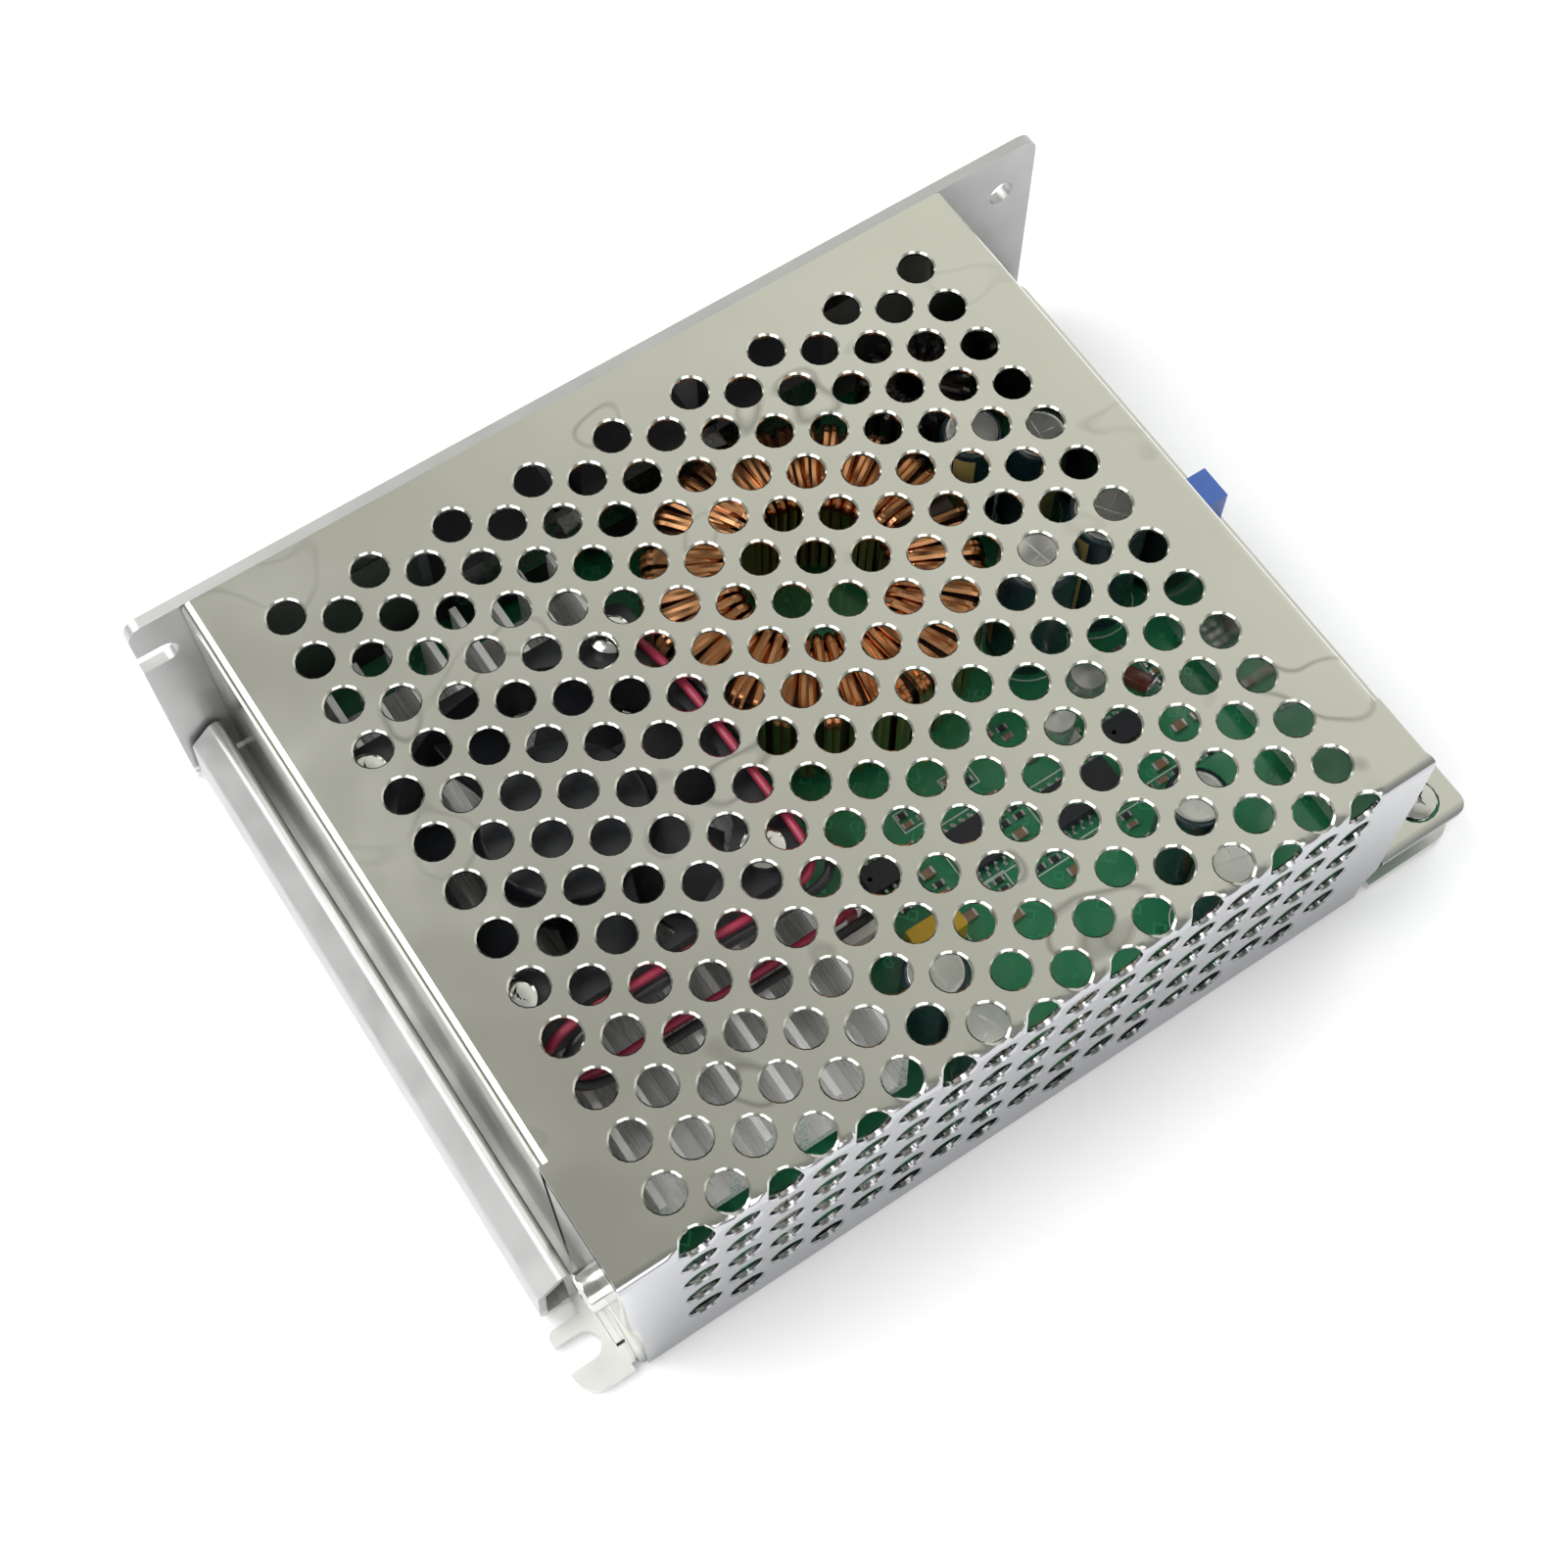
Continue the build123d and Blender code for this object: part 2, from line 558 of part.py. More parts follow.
def fan_rotor():
    """Closed hub with its blades and shaft, hollow where the bearing boss stands."""
    hub = column(0, 0, (1.9, 9.4), HUB / 2, RING_SIDES)
    hub = chamfer(hub.edges().group_by(Axis.Z)[-1], 0.5)
    blades = [Rot(0, 0, 360 / BLADES * number) * fan_blade() for number in range(BLADES)]
    hub = hub + blades - column(0, 0, (1, 5.0), BOSS + 0.6, CAN_SIDES)
    return Pos(FAN_X, FAN_Y, FAN_BOTTOM) * (hub + disc(0, 0, (0.8, 5.5), SHAFT / 2))


def fan_bearing():
    """Sleeve bearing in the boss; the shaft runs in it."""
    sleeve = column(0, 0, (0.5, 4.4), BEARING, CAN_SIDES) - disc(0, 0, (0, 7), SHAFT / 2 + SHAFT_PLAY)
    return Pos(FAN_X, FAN_Y, FAN_BOTTOM) * sleeve


def fan_screws():
    """Four screws through the frame's corners, down between the fins."""
    offset = FAN_HOLES / 2
    places = [(FAN_X + sx * offset, FAN_Y + sy * offset) for sx in (-1, 1) for sy in (-1, 1)]
    return Compound([Pos(x, y, FAN_TOP) * pan_screw(15.0, 1.8) for x, y in places])


# Fan lead: two wires from the recess, round the frame's corner, back to the plug
PLUG_X = -9.5
PLUG_Y = -21.6
PLUG_TOP = 15.0
RED_ROUTE = (
    (-15.0, 15.4, 33.7), (-14.1, 9.8, 35.9), (-13.6, -4.6, 35.85), (-13.5, -12.4, 35.9), (-13.7, -20.2, 35.8),
    (-21.0, -21.0, 35.9), (-33.8, -20.5, 35.8), (-40.4, -20.6, 35.9), (-47.0, -20.3, 35.6),
    (-50.6, -21.3, 33.0), (-50.8, -22.9, 28.8), (-47.0, -23.8, 26.2), (-37.6, -23.4, 25.95),
    (-24.4, -23.8, 26.0), (-13.9, -23.3, 25.9), (-10.6, -22.1, 22.3), (PLUG_X - 0.5, PLUG_Y, 18.8),
    (PLUG_X - 0.5, PLUG_Y, PLUG_TOP),
)
BLACK_SHIFT = (1.6, -1.55, 0.2)
BLACK_START = ((-13.9, 12.9, 32.0), (-12.5, 8.9, 35.2))
BLACK_END = ((-12.2, -25.0, 26.1), (-8.5, -23.9, 22.6), (PLUG_X + 1.3, PLUG_Y, 18.8), (PLUG_X + 1.3, PLUG_Y, PLUG_TOP))


def distance(a, b):
    return sqrt(sum((p - q) ** 2 for p, q in zip(a, b)))


def bend_radii(points):
    """Largest arcs that the runs beside each point allow."""
    found = []
    for before, here, after in zip(points, points[1:], points[2:]):
        first = Vector(*here) - Vector(*before)
        second = Vector(*after) - Vector(*here)
        turn = radians(first.get_angle(second))
        shorter = min(distance(before, here), distance(here, after))
        found.append(0.45 * shorter / tan(turn / 2))
    return found


def wire(name, points):
    """Round wire along straight runs and tangent arcs."""
    radii = bend_radii(points)
    path = FilletPolyline(*points, radius=radii)
    outline = RegularPolygon(even_radius(WIRE / 2, WIRE_SIDES), WIRE_SIDES)
    section = Plane(origin=path @ 0, z_dir=path % 0) * outline
    body = sweep(section, path=path)
    print(name, "length", round(path.length, 1), "smallest radius", round(min(radii), 2),
          "volume over section times length", round(body.volume / (pi * WIRE ** 2 / 4 * path.length), 4))
    return body


def black_route():
    """The red wire's route beside itself, with ends of its own."""
    moved = [tuple(p + s for p, s in zip(point, BLACK_SHIFT)) for point in RED_ROUTE[2:-4]]
    return [*BLACK_START, *moved, *BLACK_END]


def fan_header():
    """Two pin header, open at its top, with its pins."""
    shell = block((PLUG_X - 3.2, PLUG_X + 3.2), (PLUG_Y - 2.6, PLUG_Y + 2.6), (BOARD_TOP, BOARD_TOP + 5.6))
    shell -= block((PLUG_X - 2.6, PLUG_X + 2.6), (PLUG_Y - 2.0, PLUG_Y + 2.0), (BOARD_TOP + 0.8, 20))
    for x in (-1.0, 1.0):
        place = PLUG_X + x
        shell += block((place - 0.3, place + 0.3), (PLUG_Y - 0.3, PLUG_Y + 0.3), (BOARD_TOP, BOARD_TOP + 4.6))
    return shell


def fan_plug():
    """Plug seated in the header, its wires in the top."""
    body = block((PLUG_X - 2.5, PLUG_X + 2.5), (PLUG_Y - 1.9, PLUG_Y + 1.9), (BOARD_TOP + 0.8, PLUG_TOP))
    body = chamfer(body.edges().group_by(Axis.Z)[-1], 0.3)
    pins = [block((PLUG_X + x - 0.4, PLUG_X + x + 0.4), (PLUG_Y - 0.4, PLUG_Y + 0.4),
                  (BOARD_TOP, BOARD_TOP + 4.8)) for x in (-1.0, 1.0)]
    return body - pins


# Wound parts
def ring(x, y, z, outer, inner, edge, sides=RING_SIDES):
    """Many-sided ring between two heights, with its edges cut back."""
    outline = RegularPolygon(even_radius(outer / 2, sides), sides)
    outline -= RegularPolygon(even_radius(inner / 2, sides), sides)
    body = extrude(outline, z[1] - z[0])
    if edge:
        body = chamfer(body.edges().filter_by(GeomType.LINE).filter_by(Plane.XY), edge)
    return Pos(x, y, z[0]) * body


def toroid_core():
    middle = BOARD_TOP + WINDING_HEIGHT / 2
    z = (middle - CORE_HEIGHT / 2, middle + CORE_HEIGHT / 2)
    return ring(TOROID_X, TOROID_Y, z, CORE_OUTER, CORE_INNER, 0)


def toroid_winding():
    """Winding as a closed sleeve round the core, one face for each turn."""
    body = ring(TOROID_X, TOROID_Y, (BOARD_TOP, BOARD_TOP + WINDING_HEIGHT), WINDING_OUTER, WINDING_INNER, 2.0)
    middle = BOARD_TOP + WINDING_HEIGHT / 2
    z = (middle - CORE_HEIGHT / 2 - 0.1, middle + CORE_HEIGHT / 2 + 0.1)
    return body - ring(TOROID_X, TOROID_Y, z, CORE_OUTER + 0.2, CORE_INNER - 0.2, 0)


def filter_choke():
    """Smaller black choke beside the terminals."""
    z = (BOARD_TOP, BOARD_TOP + CHOKE_HEIGHT)
    return ring(CHOKE_X, CHOKE_Y, z, CHOKE_OUTER, CHOKE_INNER, 1.6, CAN_SIDES)


# Upright capacitors: place, diameter and height over the board
INPUT_CAPACITORS = (
    (-7.6, -34.4, 8.0, 19.0), (-5.8, -43.0, 8.0, 19.0), (30.2, -33.6, 8.0, 19.0), (28.6, -42.2, 8.0, 19.0),
)
OUTPUT_CAPACITORS = ((32.6, 1.3, 10.0, 22.5), (43.2, 1.6, 10.0, 22.5))
FILTER_CAPACITORS = ((37.4, 21.8, 8.0, 19.0), (44.2, 16.8, 8.0, 19.0))


def upright_cans(cans):
    """Round cans with the rolled edge at their top."""
    found = []
    for x, y, diameter, height in cans:
        can = column(x, y, (BOARD_TOP, BOARD_TOP + height), diameter / 2, CAN_SIDES)
        found.append(chamfer(can.edges().group_by(Axis.Z)[-1], 0.5))
    return Compound(found)


# Control parts on the board
CONTROL_CHIPS = ((25.2, -20.4, 10.4, 7.6, 2.3), (10.6, -18.6, 6.0, 8.4, 1.7))
DRIVER_CHIPS = ((-1.4, -15.5, 5.0, 6.0, 1.6), (35.4, -16.0, 5.0, 6.0, 1.6))
PASSIVES = (
    (41.6, -19.4), (44.6, -19.4), (9.5, -28.9), (4.7, -25.8), (20.4, -7.0), (16.2, -14.4), (16.2, -20.4),
    (3.6, -18.4), (19.0, -28.0), (36.4, -22.4), (23.6, -12.6),
)
SMALL_CANS = ((34.8, -8.7, 5.0, 5.4), (27.9, -11.4, 5.0, 5.4))


def flat_chips(chips):
    """Moulded chips: place, length, width and height."""
    found = []
    for x, y, length, width, height in chips:
        z = (BOARD_TOP, BOARD_TOP + height)
        body = block((x - length / 2, x + length / 2), (y - width / 2, y + width / 2), z)
        found.append(body)
    return Compound(found)


def chip_passives():
    found = [(x, y, 2.0, 1.25, 0.8) for x, y in PASSIVES]
    return flat_chips(found)


def small_diode():
    """Glass diode lying on the board."""
    return Pos(40.8, -11.4, BOARD_TOP + 1.25) * Rot(0, 0, 25) * Rot(90, 0, 0) * column(0, 0, (-2.5, 2.5), 1.2)


def film_capacitor():
    box = block((-4.6, 2.6), (-28.2, -24.6), (BOARD_TOP, BOARD_TOP + 6.0))
    return chamfer(box.edges().filter_by(Axis.Z), 0.5)


# Terminals
def terminal_cages():
    """Four folded metal brackets, each soldered to the board on its two legs."""
    found = []
    for y in TERMINAL_PLACES:
        x = (TERMINAL_X - CAGE_LENGTH / 2, TERMINAL_X + CAGE_LENGTH / 2)
        top = BOARD_TOP + CAGE_HEIGHT
        cage = block(x, (y - CAGE_WIDTH / 2, y + CAGE_WIDTH / 2), (BOARD_TOP, top))
        cage = chamfer(cage.edges().filter_by(Axis.X).group_by(Axis.Z)[-1], 0.6)
        cage -= block((x[0] - 1, x[1] + 1), (y - CAGE_WIDTH / 2 + 1, y + CAGE_WIDTH / 2 - 1), (0, top - 1))
        found.append(cage - column(TERMINAL_X, y, (top - 2, top + 1), 2.05))
    return Compound(found)


def terminal_screws():
    """Four larger screws with their square washers."""
    top = BOARD_TOP + CAGE_HEIGHT
    found = []
    for y in TERMINAL_PLACES:
        screw = column(TERMINAL_X, y, (BOARD_TOP + 0.6, top), 1.95)
        screw += block((TERMINAL_X - 3.8, TERMINAL_X + 3.8), (y - 3.8, y + 3.8), (top, top + 0.8))
        found.append(screw + column(TERMINAL_X, y, (top + 0.8, top + 3.0), 3.4))
    return Compound(found)


# Trimmer with its adjusting screw
def trimmer_body():
    """Upright case with its feet and the well of the screw."""
    x = (TRIMMER_X - TRIMMER_LENGTH / 2, TRIMMER_X + TRIMMER_LENGTH / 2)
    y = (TRIMMER_Y - TRIMMER_WIDTH / 2, TRIMMER_Y + TRIMMER_WIDTH / 2)
    body = block(x, y, (BOARD_TOP + 0.4, TRIMMER_TOP))
    body += block((x[0], x[0] + 1.2), y, (BOARD_TOP, BOARD_TOP + 0.4))
    body += block((x[1] - 1.2, x[1]), y, (BOARD_TOP, BOARD_TOP + 0.4))
    well = disc(x[0] + 1.6, TRIMMER_Y, (TRIMMER_TOP - 3, TRIMMER_TOP + 1), TRIMMER_SCREW / 2 + TRIMMER_PLAY)
    return body - well


def trimmer_screw():
    """Slotted brass screw that stands a little above the case."""
    x = TRIMMER_X - TRIMMER_LENGTH / 2 + 1.6
    body = disc(x, TRIMMER_Y, (TRIMMER_TOP - 3, TRIMMER_TOP + 1.4), TRIMMER_SCREW / 2)
    return body - block((x - 2, x + 2), (TRIMMER_Y - 0.25, TRIMMER_Y + 0.25), (TRIMMER_TOP + 0.8, TRIMMER_TOP + 2))


def pieces():
    """Every separate piece by its name."""
    return {
        "chassis": chassis(),
        "cover": cover(),
        "cover_screws": cover_screws(),
        "circuit_board": circuit_board(),
        "board_standoffs": board_standoffs(),
        "board_screws": board_screws(),
        "heatsink": heatsink(),
        "heatsink_pins": heatsink_pins(),
        "switch_transistors": switch_transistors(),
        "thermal_pad": thermal_pad(),
        "wall_insulator": wall_insulator(),
        "wall_devices": wall_devices(),
        "clamp_bar": clamp_bar(),
        "clamp_screws": clamp_screws(),
        "fan_frame": fan_frame(),
        "fan_rotor": fan_rotor(),
        "fan_bearing": fan_bearing(),
        "fan_screws": fan_screws(),
        "fan_wire_red": wire("fan_wire_red", RED_ROUTE),
        "fan_wire_black": wire("fan_wire_black", black_route()),
        "fan_header": fan_header(),
        "fan_plug": fan_plug(),
        "toroid_core": toroid_core(),
        "toroid_winding": toroid_winding(),
        "filter_choke": filter_choke(),
        "input_capacitors": upright_cans(INPUT_CAPACITORS),
        "output_capacitors": upright_cans(OUTPUT_CAPACITORS),
        "filter_capacitors": upright_cans(FILTER_CAPACITORS),
        "control_chips": flat_chips(CONTROL_CHIPS),
        "driver_chips": flat_chips(DRIVER_CHIPS),
        "chip_passives": chip_passives(),
        "small_cans": upright_cans(SMALL_CANS),
        "small_diode": small_diode(),
        "film_capacitor": film_capacitor(),
        "terminal_cages": terminal_cages(),
        "terminal_screws": terminal_screws(),
        "trimmer_body": trimmer_body(),
        "trimmer_screw": trimmer_screw(),
    }


os.makedirs("parts", exist_ok=True)
for name, shape in pieces().items():
    export_step(shape, "parts/" + name + ".step")
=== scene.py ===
from math import cos, hypot, pi, radians, sin, tan, tau

import bmesh
import bpy
from mathutils import Matrix, Vector
from mathutils.geometry import delaunay_2d_cdt


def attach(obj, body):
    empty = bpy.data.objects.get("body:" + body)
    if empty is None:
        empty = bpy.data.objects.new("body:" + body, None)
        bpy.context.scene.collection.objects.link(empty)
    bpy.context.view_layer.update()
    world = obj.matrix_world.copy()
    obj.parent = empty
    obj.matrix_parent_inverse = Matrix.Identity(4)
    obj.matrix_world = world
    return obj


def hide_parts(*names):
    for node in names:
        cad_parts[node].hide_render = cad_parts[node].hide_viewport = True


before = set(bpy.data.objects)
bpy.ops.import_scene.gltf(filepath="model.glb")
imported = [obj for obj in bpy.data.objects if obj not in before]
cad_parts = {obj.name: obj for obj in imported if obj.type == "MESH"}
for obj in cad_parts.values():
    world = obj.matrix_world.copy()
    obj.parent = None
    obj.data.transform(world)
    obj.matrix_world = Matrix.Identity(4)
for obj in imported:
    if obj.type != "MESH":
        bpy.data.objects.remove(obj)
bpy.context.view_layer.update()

# Camera and light: the photograph looks steeply down past the left front corner. A large soft lamp
# behind the left side throws the pale shadow to the right, and the room is white with a duller side
# that the tinned top mirrors.
MM = 0.001


def linear(code):
    """Linear colour of an sRGB hex value."""
    parts = [int(code[i:i + 2], 16) / 255 for i in (1, 3, 5)]
    parts = [p / 12.92 if p <= 0.04045 else ((p + 0.055) / 1.055) ** 2.4 for p in parts]
    return (*parts, 1.0)


def add(tree, kind, sockets=(), **settings):
    """Adds one node with its settings, its values and its links."""
    node = tree.nodes.new(kind)
    for name, value in settings.items():
        setattr(node, name, value)
    for name, value in dict(sockets).items():
        socket = node.inputs[name]
        if isinstance(value, bpy.types.NodeSocket):
            tree.links.new(value, socket)
        else:
            socket.default_value = value
    return node


def aimed(obj, place, target=(0, 0, 0.02)):
    """Puts a camera or lamp in place and turns it to its target."""
    obj.location = place
    obj.rotation_euler = (Vector(target) - Vector(place)).to_track_quat("-Z", "Y").to_euler()
    bpy.context.scene.collection.objects.link(obj)
    return obj


def lamp(name, place, size, power, mirrored=False):
    """Round soft lamp aimed at the object; only a mirrored one shows in reflections."""
    light = bpy.data.lights.new(name, "AREA")
    light.shape = "DISK"
    light.size = size
    light.energy = power
    aimed(bpy.data.objects.new(name, light), place).visible_glossy = mirrored


camera = bpy.data.cameras.new("camera")
camera.sensor_width = 36.0
camera.lens = 55.82
camera.clip_start = 0.01
view = bpy.data.objects.new("camera", camera)
view.location = (-0.07418, -0.10465, 0.28275)
view.rotation_euler = (radians(24.740), radians(0.116), radians(-33.604))
bpy.context.scene.collection.objects.link(view)
bpy.context.scene.camera = view
bpy.context.scene.view_settings.view_transform = "Standard"

lamp("soft_key", (-0.45, 0.35, 0.75), 0.8, 5.5, True)
lamp("right_panel", (0.75, 0.25, 0.75), 0.7, 3.0)
lamp("front_fill", (-0.2, -0.9, 0.45), 0.7, 2.4, True)
lamp("left_window", (-0.80, -0.22, 0.42), 0.65, 3.2, True)

world = bpy.data.worlds.new("room")
bpy.context.scene.world = world
world.use_nodes = True
tree = world.node_tree
tree.nodes.clear()
way = add(tree, "ShaderNodeTexCoord").outputs["Generated"]
turned_way = add(tree, "ShaderNodeMapping", {"Vector": way, "Rotation": (0, 0, radians(-20))}).outputs[0]
split = add(tree, "ShaderNodeSeparateXYZ", {"Vector": turned_way})
side = add(tree, "ShaderNodeMapRange", {"Value": split.outputs["X"], "From Min": 0.1, "From Max": 0.54})
room = add(tree, "ShaderNodeValToRGB", {"Fac": side.outputs[0]})
room.color_ramp.elements[0].color = linear("#9b9b94")
room.color_ramp.elements[1].color = linear("#f3f3e8")
patches = add(tree, "ShaderNodeTexNoise", {"Vector": way, "Scale": 2.3, "Detail": 1.0})
patchy = add(tree, "ShaderNodeMapRange", {"Value": patches.outputs[0], "To Min": 0.85, "To Max": 1.12})
mirrored = add(tree, "ShaderNodeBackground", {"Color": room.outputs[0], "Strength": patchy.outputs[0]})
plain = add(tree, "ShaderNodeBackground", {"Color": linear("#fdfdff"), "Strength": 0.75})
ray = add(tree, "ShaderNodeLightPath").outputs["Is Glossy Ray"]
glow = add(tree, "ShaderNodeMixShader", {0: ray, 1: plain.outputs[0], 2: mirrored.outputs[0]})
add(tree, "ShaderNodeOutputWorld", {"Surface": glow.outputs[0]})

# Floor: a plain white sheet of paper that the object stands on, a little below the base, so that the
# two don't touch. Its far edge is out of the photograph's view, and a faint horizon in a low one.
SKIN = {}


def look(name, colour, **inputs):
    """Material with one shader; keys are the shader's sockets with underscores for spaces."""
    made = bpy.data.materials.new(name)
    made.use_nodes = True
    shader = made.node_tree.nodes["Principled BSDF"]
    shader.inputs["Base Color"].default_value = linear(colour)
    for key, value in inputs.items():
        shader.inputs[key.replace("_", " ")].default_value = value
    SKIN[name] = made
    return made.node_tree, shader


def object_place(tree, scale=(1, 1, 1)):
    """Place on the object in millimetres, stretched by scale."""
    place = add(tree, "ShaderNodeTexCoord").outputs["Object"]
    stretched = tuple(s / MM for s in scale)
    return add(tree, "ShaderNodeMapping", {"Vector": place, "Scale": stretched}).outputs[0]


def noise(tree, size, detail=2.0, scale=(1, 1, 1)):
    """Noise whose patches are about size millimetres wide."""
    return add(tree, "ShaderNodeTexNoise", {"Vector": object_place(tree, scale), "Scale": 1 / size,
                                            "Detail": detail}).outputs[0]


def between(tree, value, low, high, out_low=0.0, out_high=1.0):
    """Value stretched from one range to another and held at its ends."""
    return add(tree, "ShaderNodeMapRange", {"Value": value, "From Min": low, "From Max": high,
                                            "To Min": out_low, "To Max": out_high}).outputs[0]


def blended(tree, share, first, second):
    """Colour between two: hex values or sockets."""
    node = add(tree, "ShaderNodeMix", data_type="RGBA")
    tree.links.new(share, node.inputs[0])
    for socket, value in ((node.inputs[6], first), (node.inputs[7], second)):
        if isinstance(value, str):
            socket.default_value = linear(value)
        else:
            tree.links.new(value, socket)
    return node.outputs[2]


def bumped(tree, shader, height, depth):
    """Bump of depth millimetres from a height between 0 and 1."""
    bump = add(tree, "ShaderNodeBump", {"Height": height, "Distance": depth * MM, "Strength": 1.0})
    tree.links.new(bump.outputs[0], shader.inputs["Normal"])


def grained(name, colour, other, size, depth, rough=(0.4, 0.6), **inputs):
    """Material whose colour, gloss and height vary over patches of one size in millimetres, which is
    coarser than the real grain, so that it shows."""
    tree, shader = look(name, colour, **inputs)
    patches = noise(tree, size)
    tree.links.new(blended(tree, patches, colour, other), shader.inputs["Base Color"])
    tree.links.new(between(tree, patches, 0.3, 0.7, *rough), shader.inputs["Roughness"])
    bumped(tree, shader, noise(tree, size / 3, 3.0), depth)
    return tree, shader


# white paper: matt, so the object's shadow is pale and soft
tree, shader = look("white_paper", "#f7f7f7", Roughness=0.9)
tree.links.new(blended(tree, noise(tree, 200.0), "#f7f7f7", "#f4f4f4"), shader.inputs["Base Color"])
mesh = bpy.data.meshes.new("floor")
FLOOR_REACH, FLOOR_HEIGHT = 3, -0.0004
floor_corners = [(x * FLOOR_REACH, y * FLOOR_REACH, FLOOR_HEIGHT) for x, y in ((-1, -1), (1, -1), (1, 1), (-1, 1))]
mesh.from_pydata(floor_corners, [], [(0, 1, 2, 3)])
mesh.materials.append(SKIN["white_paper"])
floor_sheet = bpy.data.objects.new("floor", mesh)
bpy.context.scene.collection.objects.link(floor_sheet)

# Cover: tin plated steel sheet of 0.8 mm, punched with round holes of 4.5 mm and then folded, so one
# row of holes runs over the fold. It is drawn flat, triangulated round its holes and laid along its
# folded section.
SHARP_EDGE = radians(35)


def piece(name, parts, skin, nodes=(), body="case"):
    """Joins parts, each made of points in millimetres and faces, into one object on a body."""
    points, faces = [], []
    for part_points, part_faces in parts:
        start = len(points)
        points += [Vector(p) * MM for p in part_points]
        faces += [tuple(start + i for i in face) for face in part_faces]
    mesh = bpy.data.meshes.new(name)
    mesh.from_pydata(points, [], faces)
    shape = bmesh.new()
    shape.from_mesh(mesh)
    bmesh.ops.recalc_face_normals(shape, faces=shape.faces)
    for face in shape.faces:
        face.smooth = True
    shape.to_mesh(mesh)
    shape.free()
    mesh.set_sharp_from_angle(angle=SHARP_EDGE)
    mesh.materials.append(SKIN[skin])
    made = bpy.data.objects.new(name, mesh)
    made.modifiers.new("flat faces stay flat", "WEIGHTED_NORMAL").keep_sharp = True
    bpy.context.scene.collection.objects.link(made)
    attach(made, body)
    if nodes:
        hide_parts(*nodes)
    return made


BEND_STEPS = 6


def section(points, radius):
    """Stations along a folded line: length so far, point, and unit normal to its left."""
    found = []
    length = 0.0
    here = Vector(points[0])
    for number in range(1, len(points)):
        goal = Vector(points[number])
        way = (goal - here).normalized()
        normal = Vector((-way.y, way.x))
        found.append((length, here.copy(), normal))
        if number == len(points) - 1:
            length += (goal - here).length
            found.append((length, goal, normal))
            break
        ahead = (Vector(points[number + 1]) - goal).normalized()
        turn = way.angle_signed(ahead) * -1
        back = radius * tan(abs(turn) / 2)
        start = goal - way * back
        length += (start - here).length
        found.append((length, start, normal))
        centre = start + normal * radius * (1 if turn > 0 else -1)
        for step in range(1, BEND_STEPS):
            share = step / BEND_STEPS
            spin = Matrix.Rotation(turn * share, 2)
            found.append((length + radius * abs(turn) * share, centre + spin @ (start - centre), spin @ normal))
        length += radius * abs(turn)
        here = goal + ahead * back
    return found


def laid(line, v, w):
    """Point of a sheet's section at length v and height w over the middle."""
    for (a, p, n), (b, q, m) in zip(line, line[1:]):
        if v <= b or (b, q, m) == line[-1]:
            share = 0.0 if b == a else (v - a) / (b - a)
            return p.lerp(q, share) + n.lerp(m, share).normalized() * w
    return None


def circle(x, y, radius, sides=18):
    """Regular ring of points, with the middle of one side straight ahead of the centre along x."""
    return [(x + radius * cos(tau * (i + 0.5) / sides), y + radius * sin(tau * (i + 0.5) / sides))
            for i in range(sides)]


def inside(point, ring):
    """Whether a point lies inside a closed ring of points."""
    found = False
    for (ax, ay), (bx, by) in zip(ring, ring[1:] + ring[:1]):
        if (ay > point[1]) != (by > point[1]) and point[0] < ax + (bx - ax) * (point[1] - ay) / (by - ay):
            found = not found
    return found


def rounded(corners, radii, steps=4):
    """Ring with rounded corners."""
    ring = []
    count = len(corners)
    for i, corner in enumerate(corners):
        here = Vector(corner)
        back = (Vector(corners[i - 1]) - here).normalized()
        ahead = (Vector(corners[(i + 1) % count]) - here).normalized()
        radius = radii[i] if isinstance(radii, list) else radii
        if radius == 0:
            ring.append(tuple(here))
            continue
        half = back.angle(ahead) / 2
        reach = radius / tan(half)
        centre = here + (back + ahead).normalized() * radius / sin(half)
        first = here + back * reach - centre
        turn = pi - 2 * half
        sign = 1 if back.cross(ahead) < 0 else -1
        for step in range(steps + 1):
            ring.append(tuple(centre + Matrix.Rotation(sign * turn * step / steps, 2) @ first))
    return ring


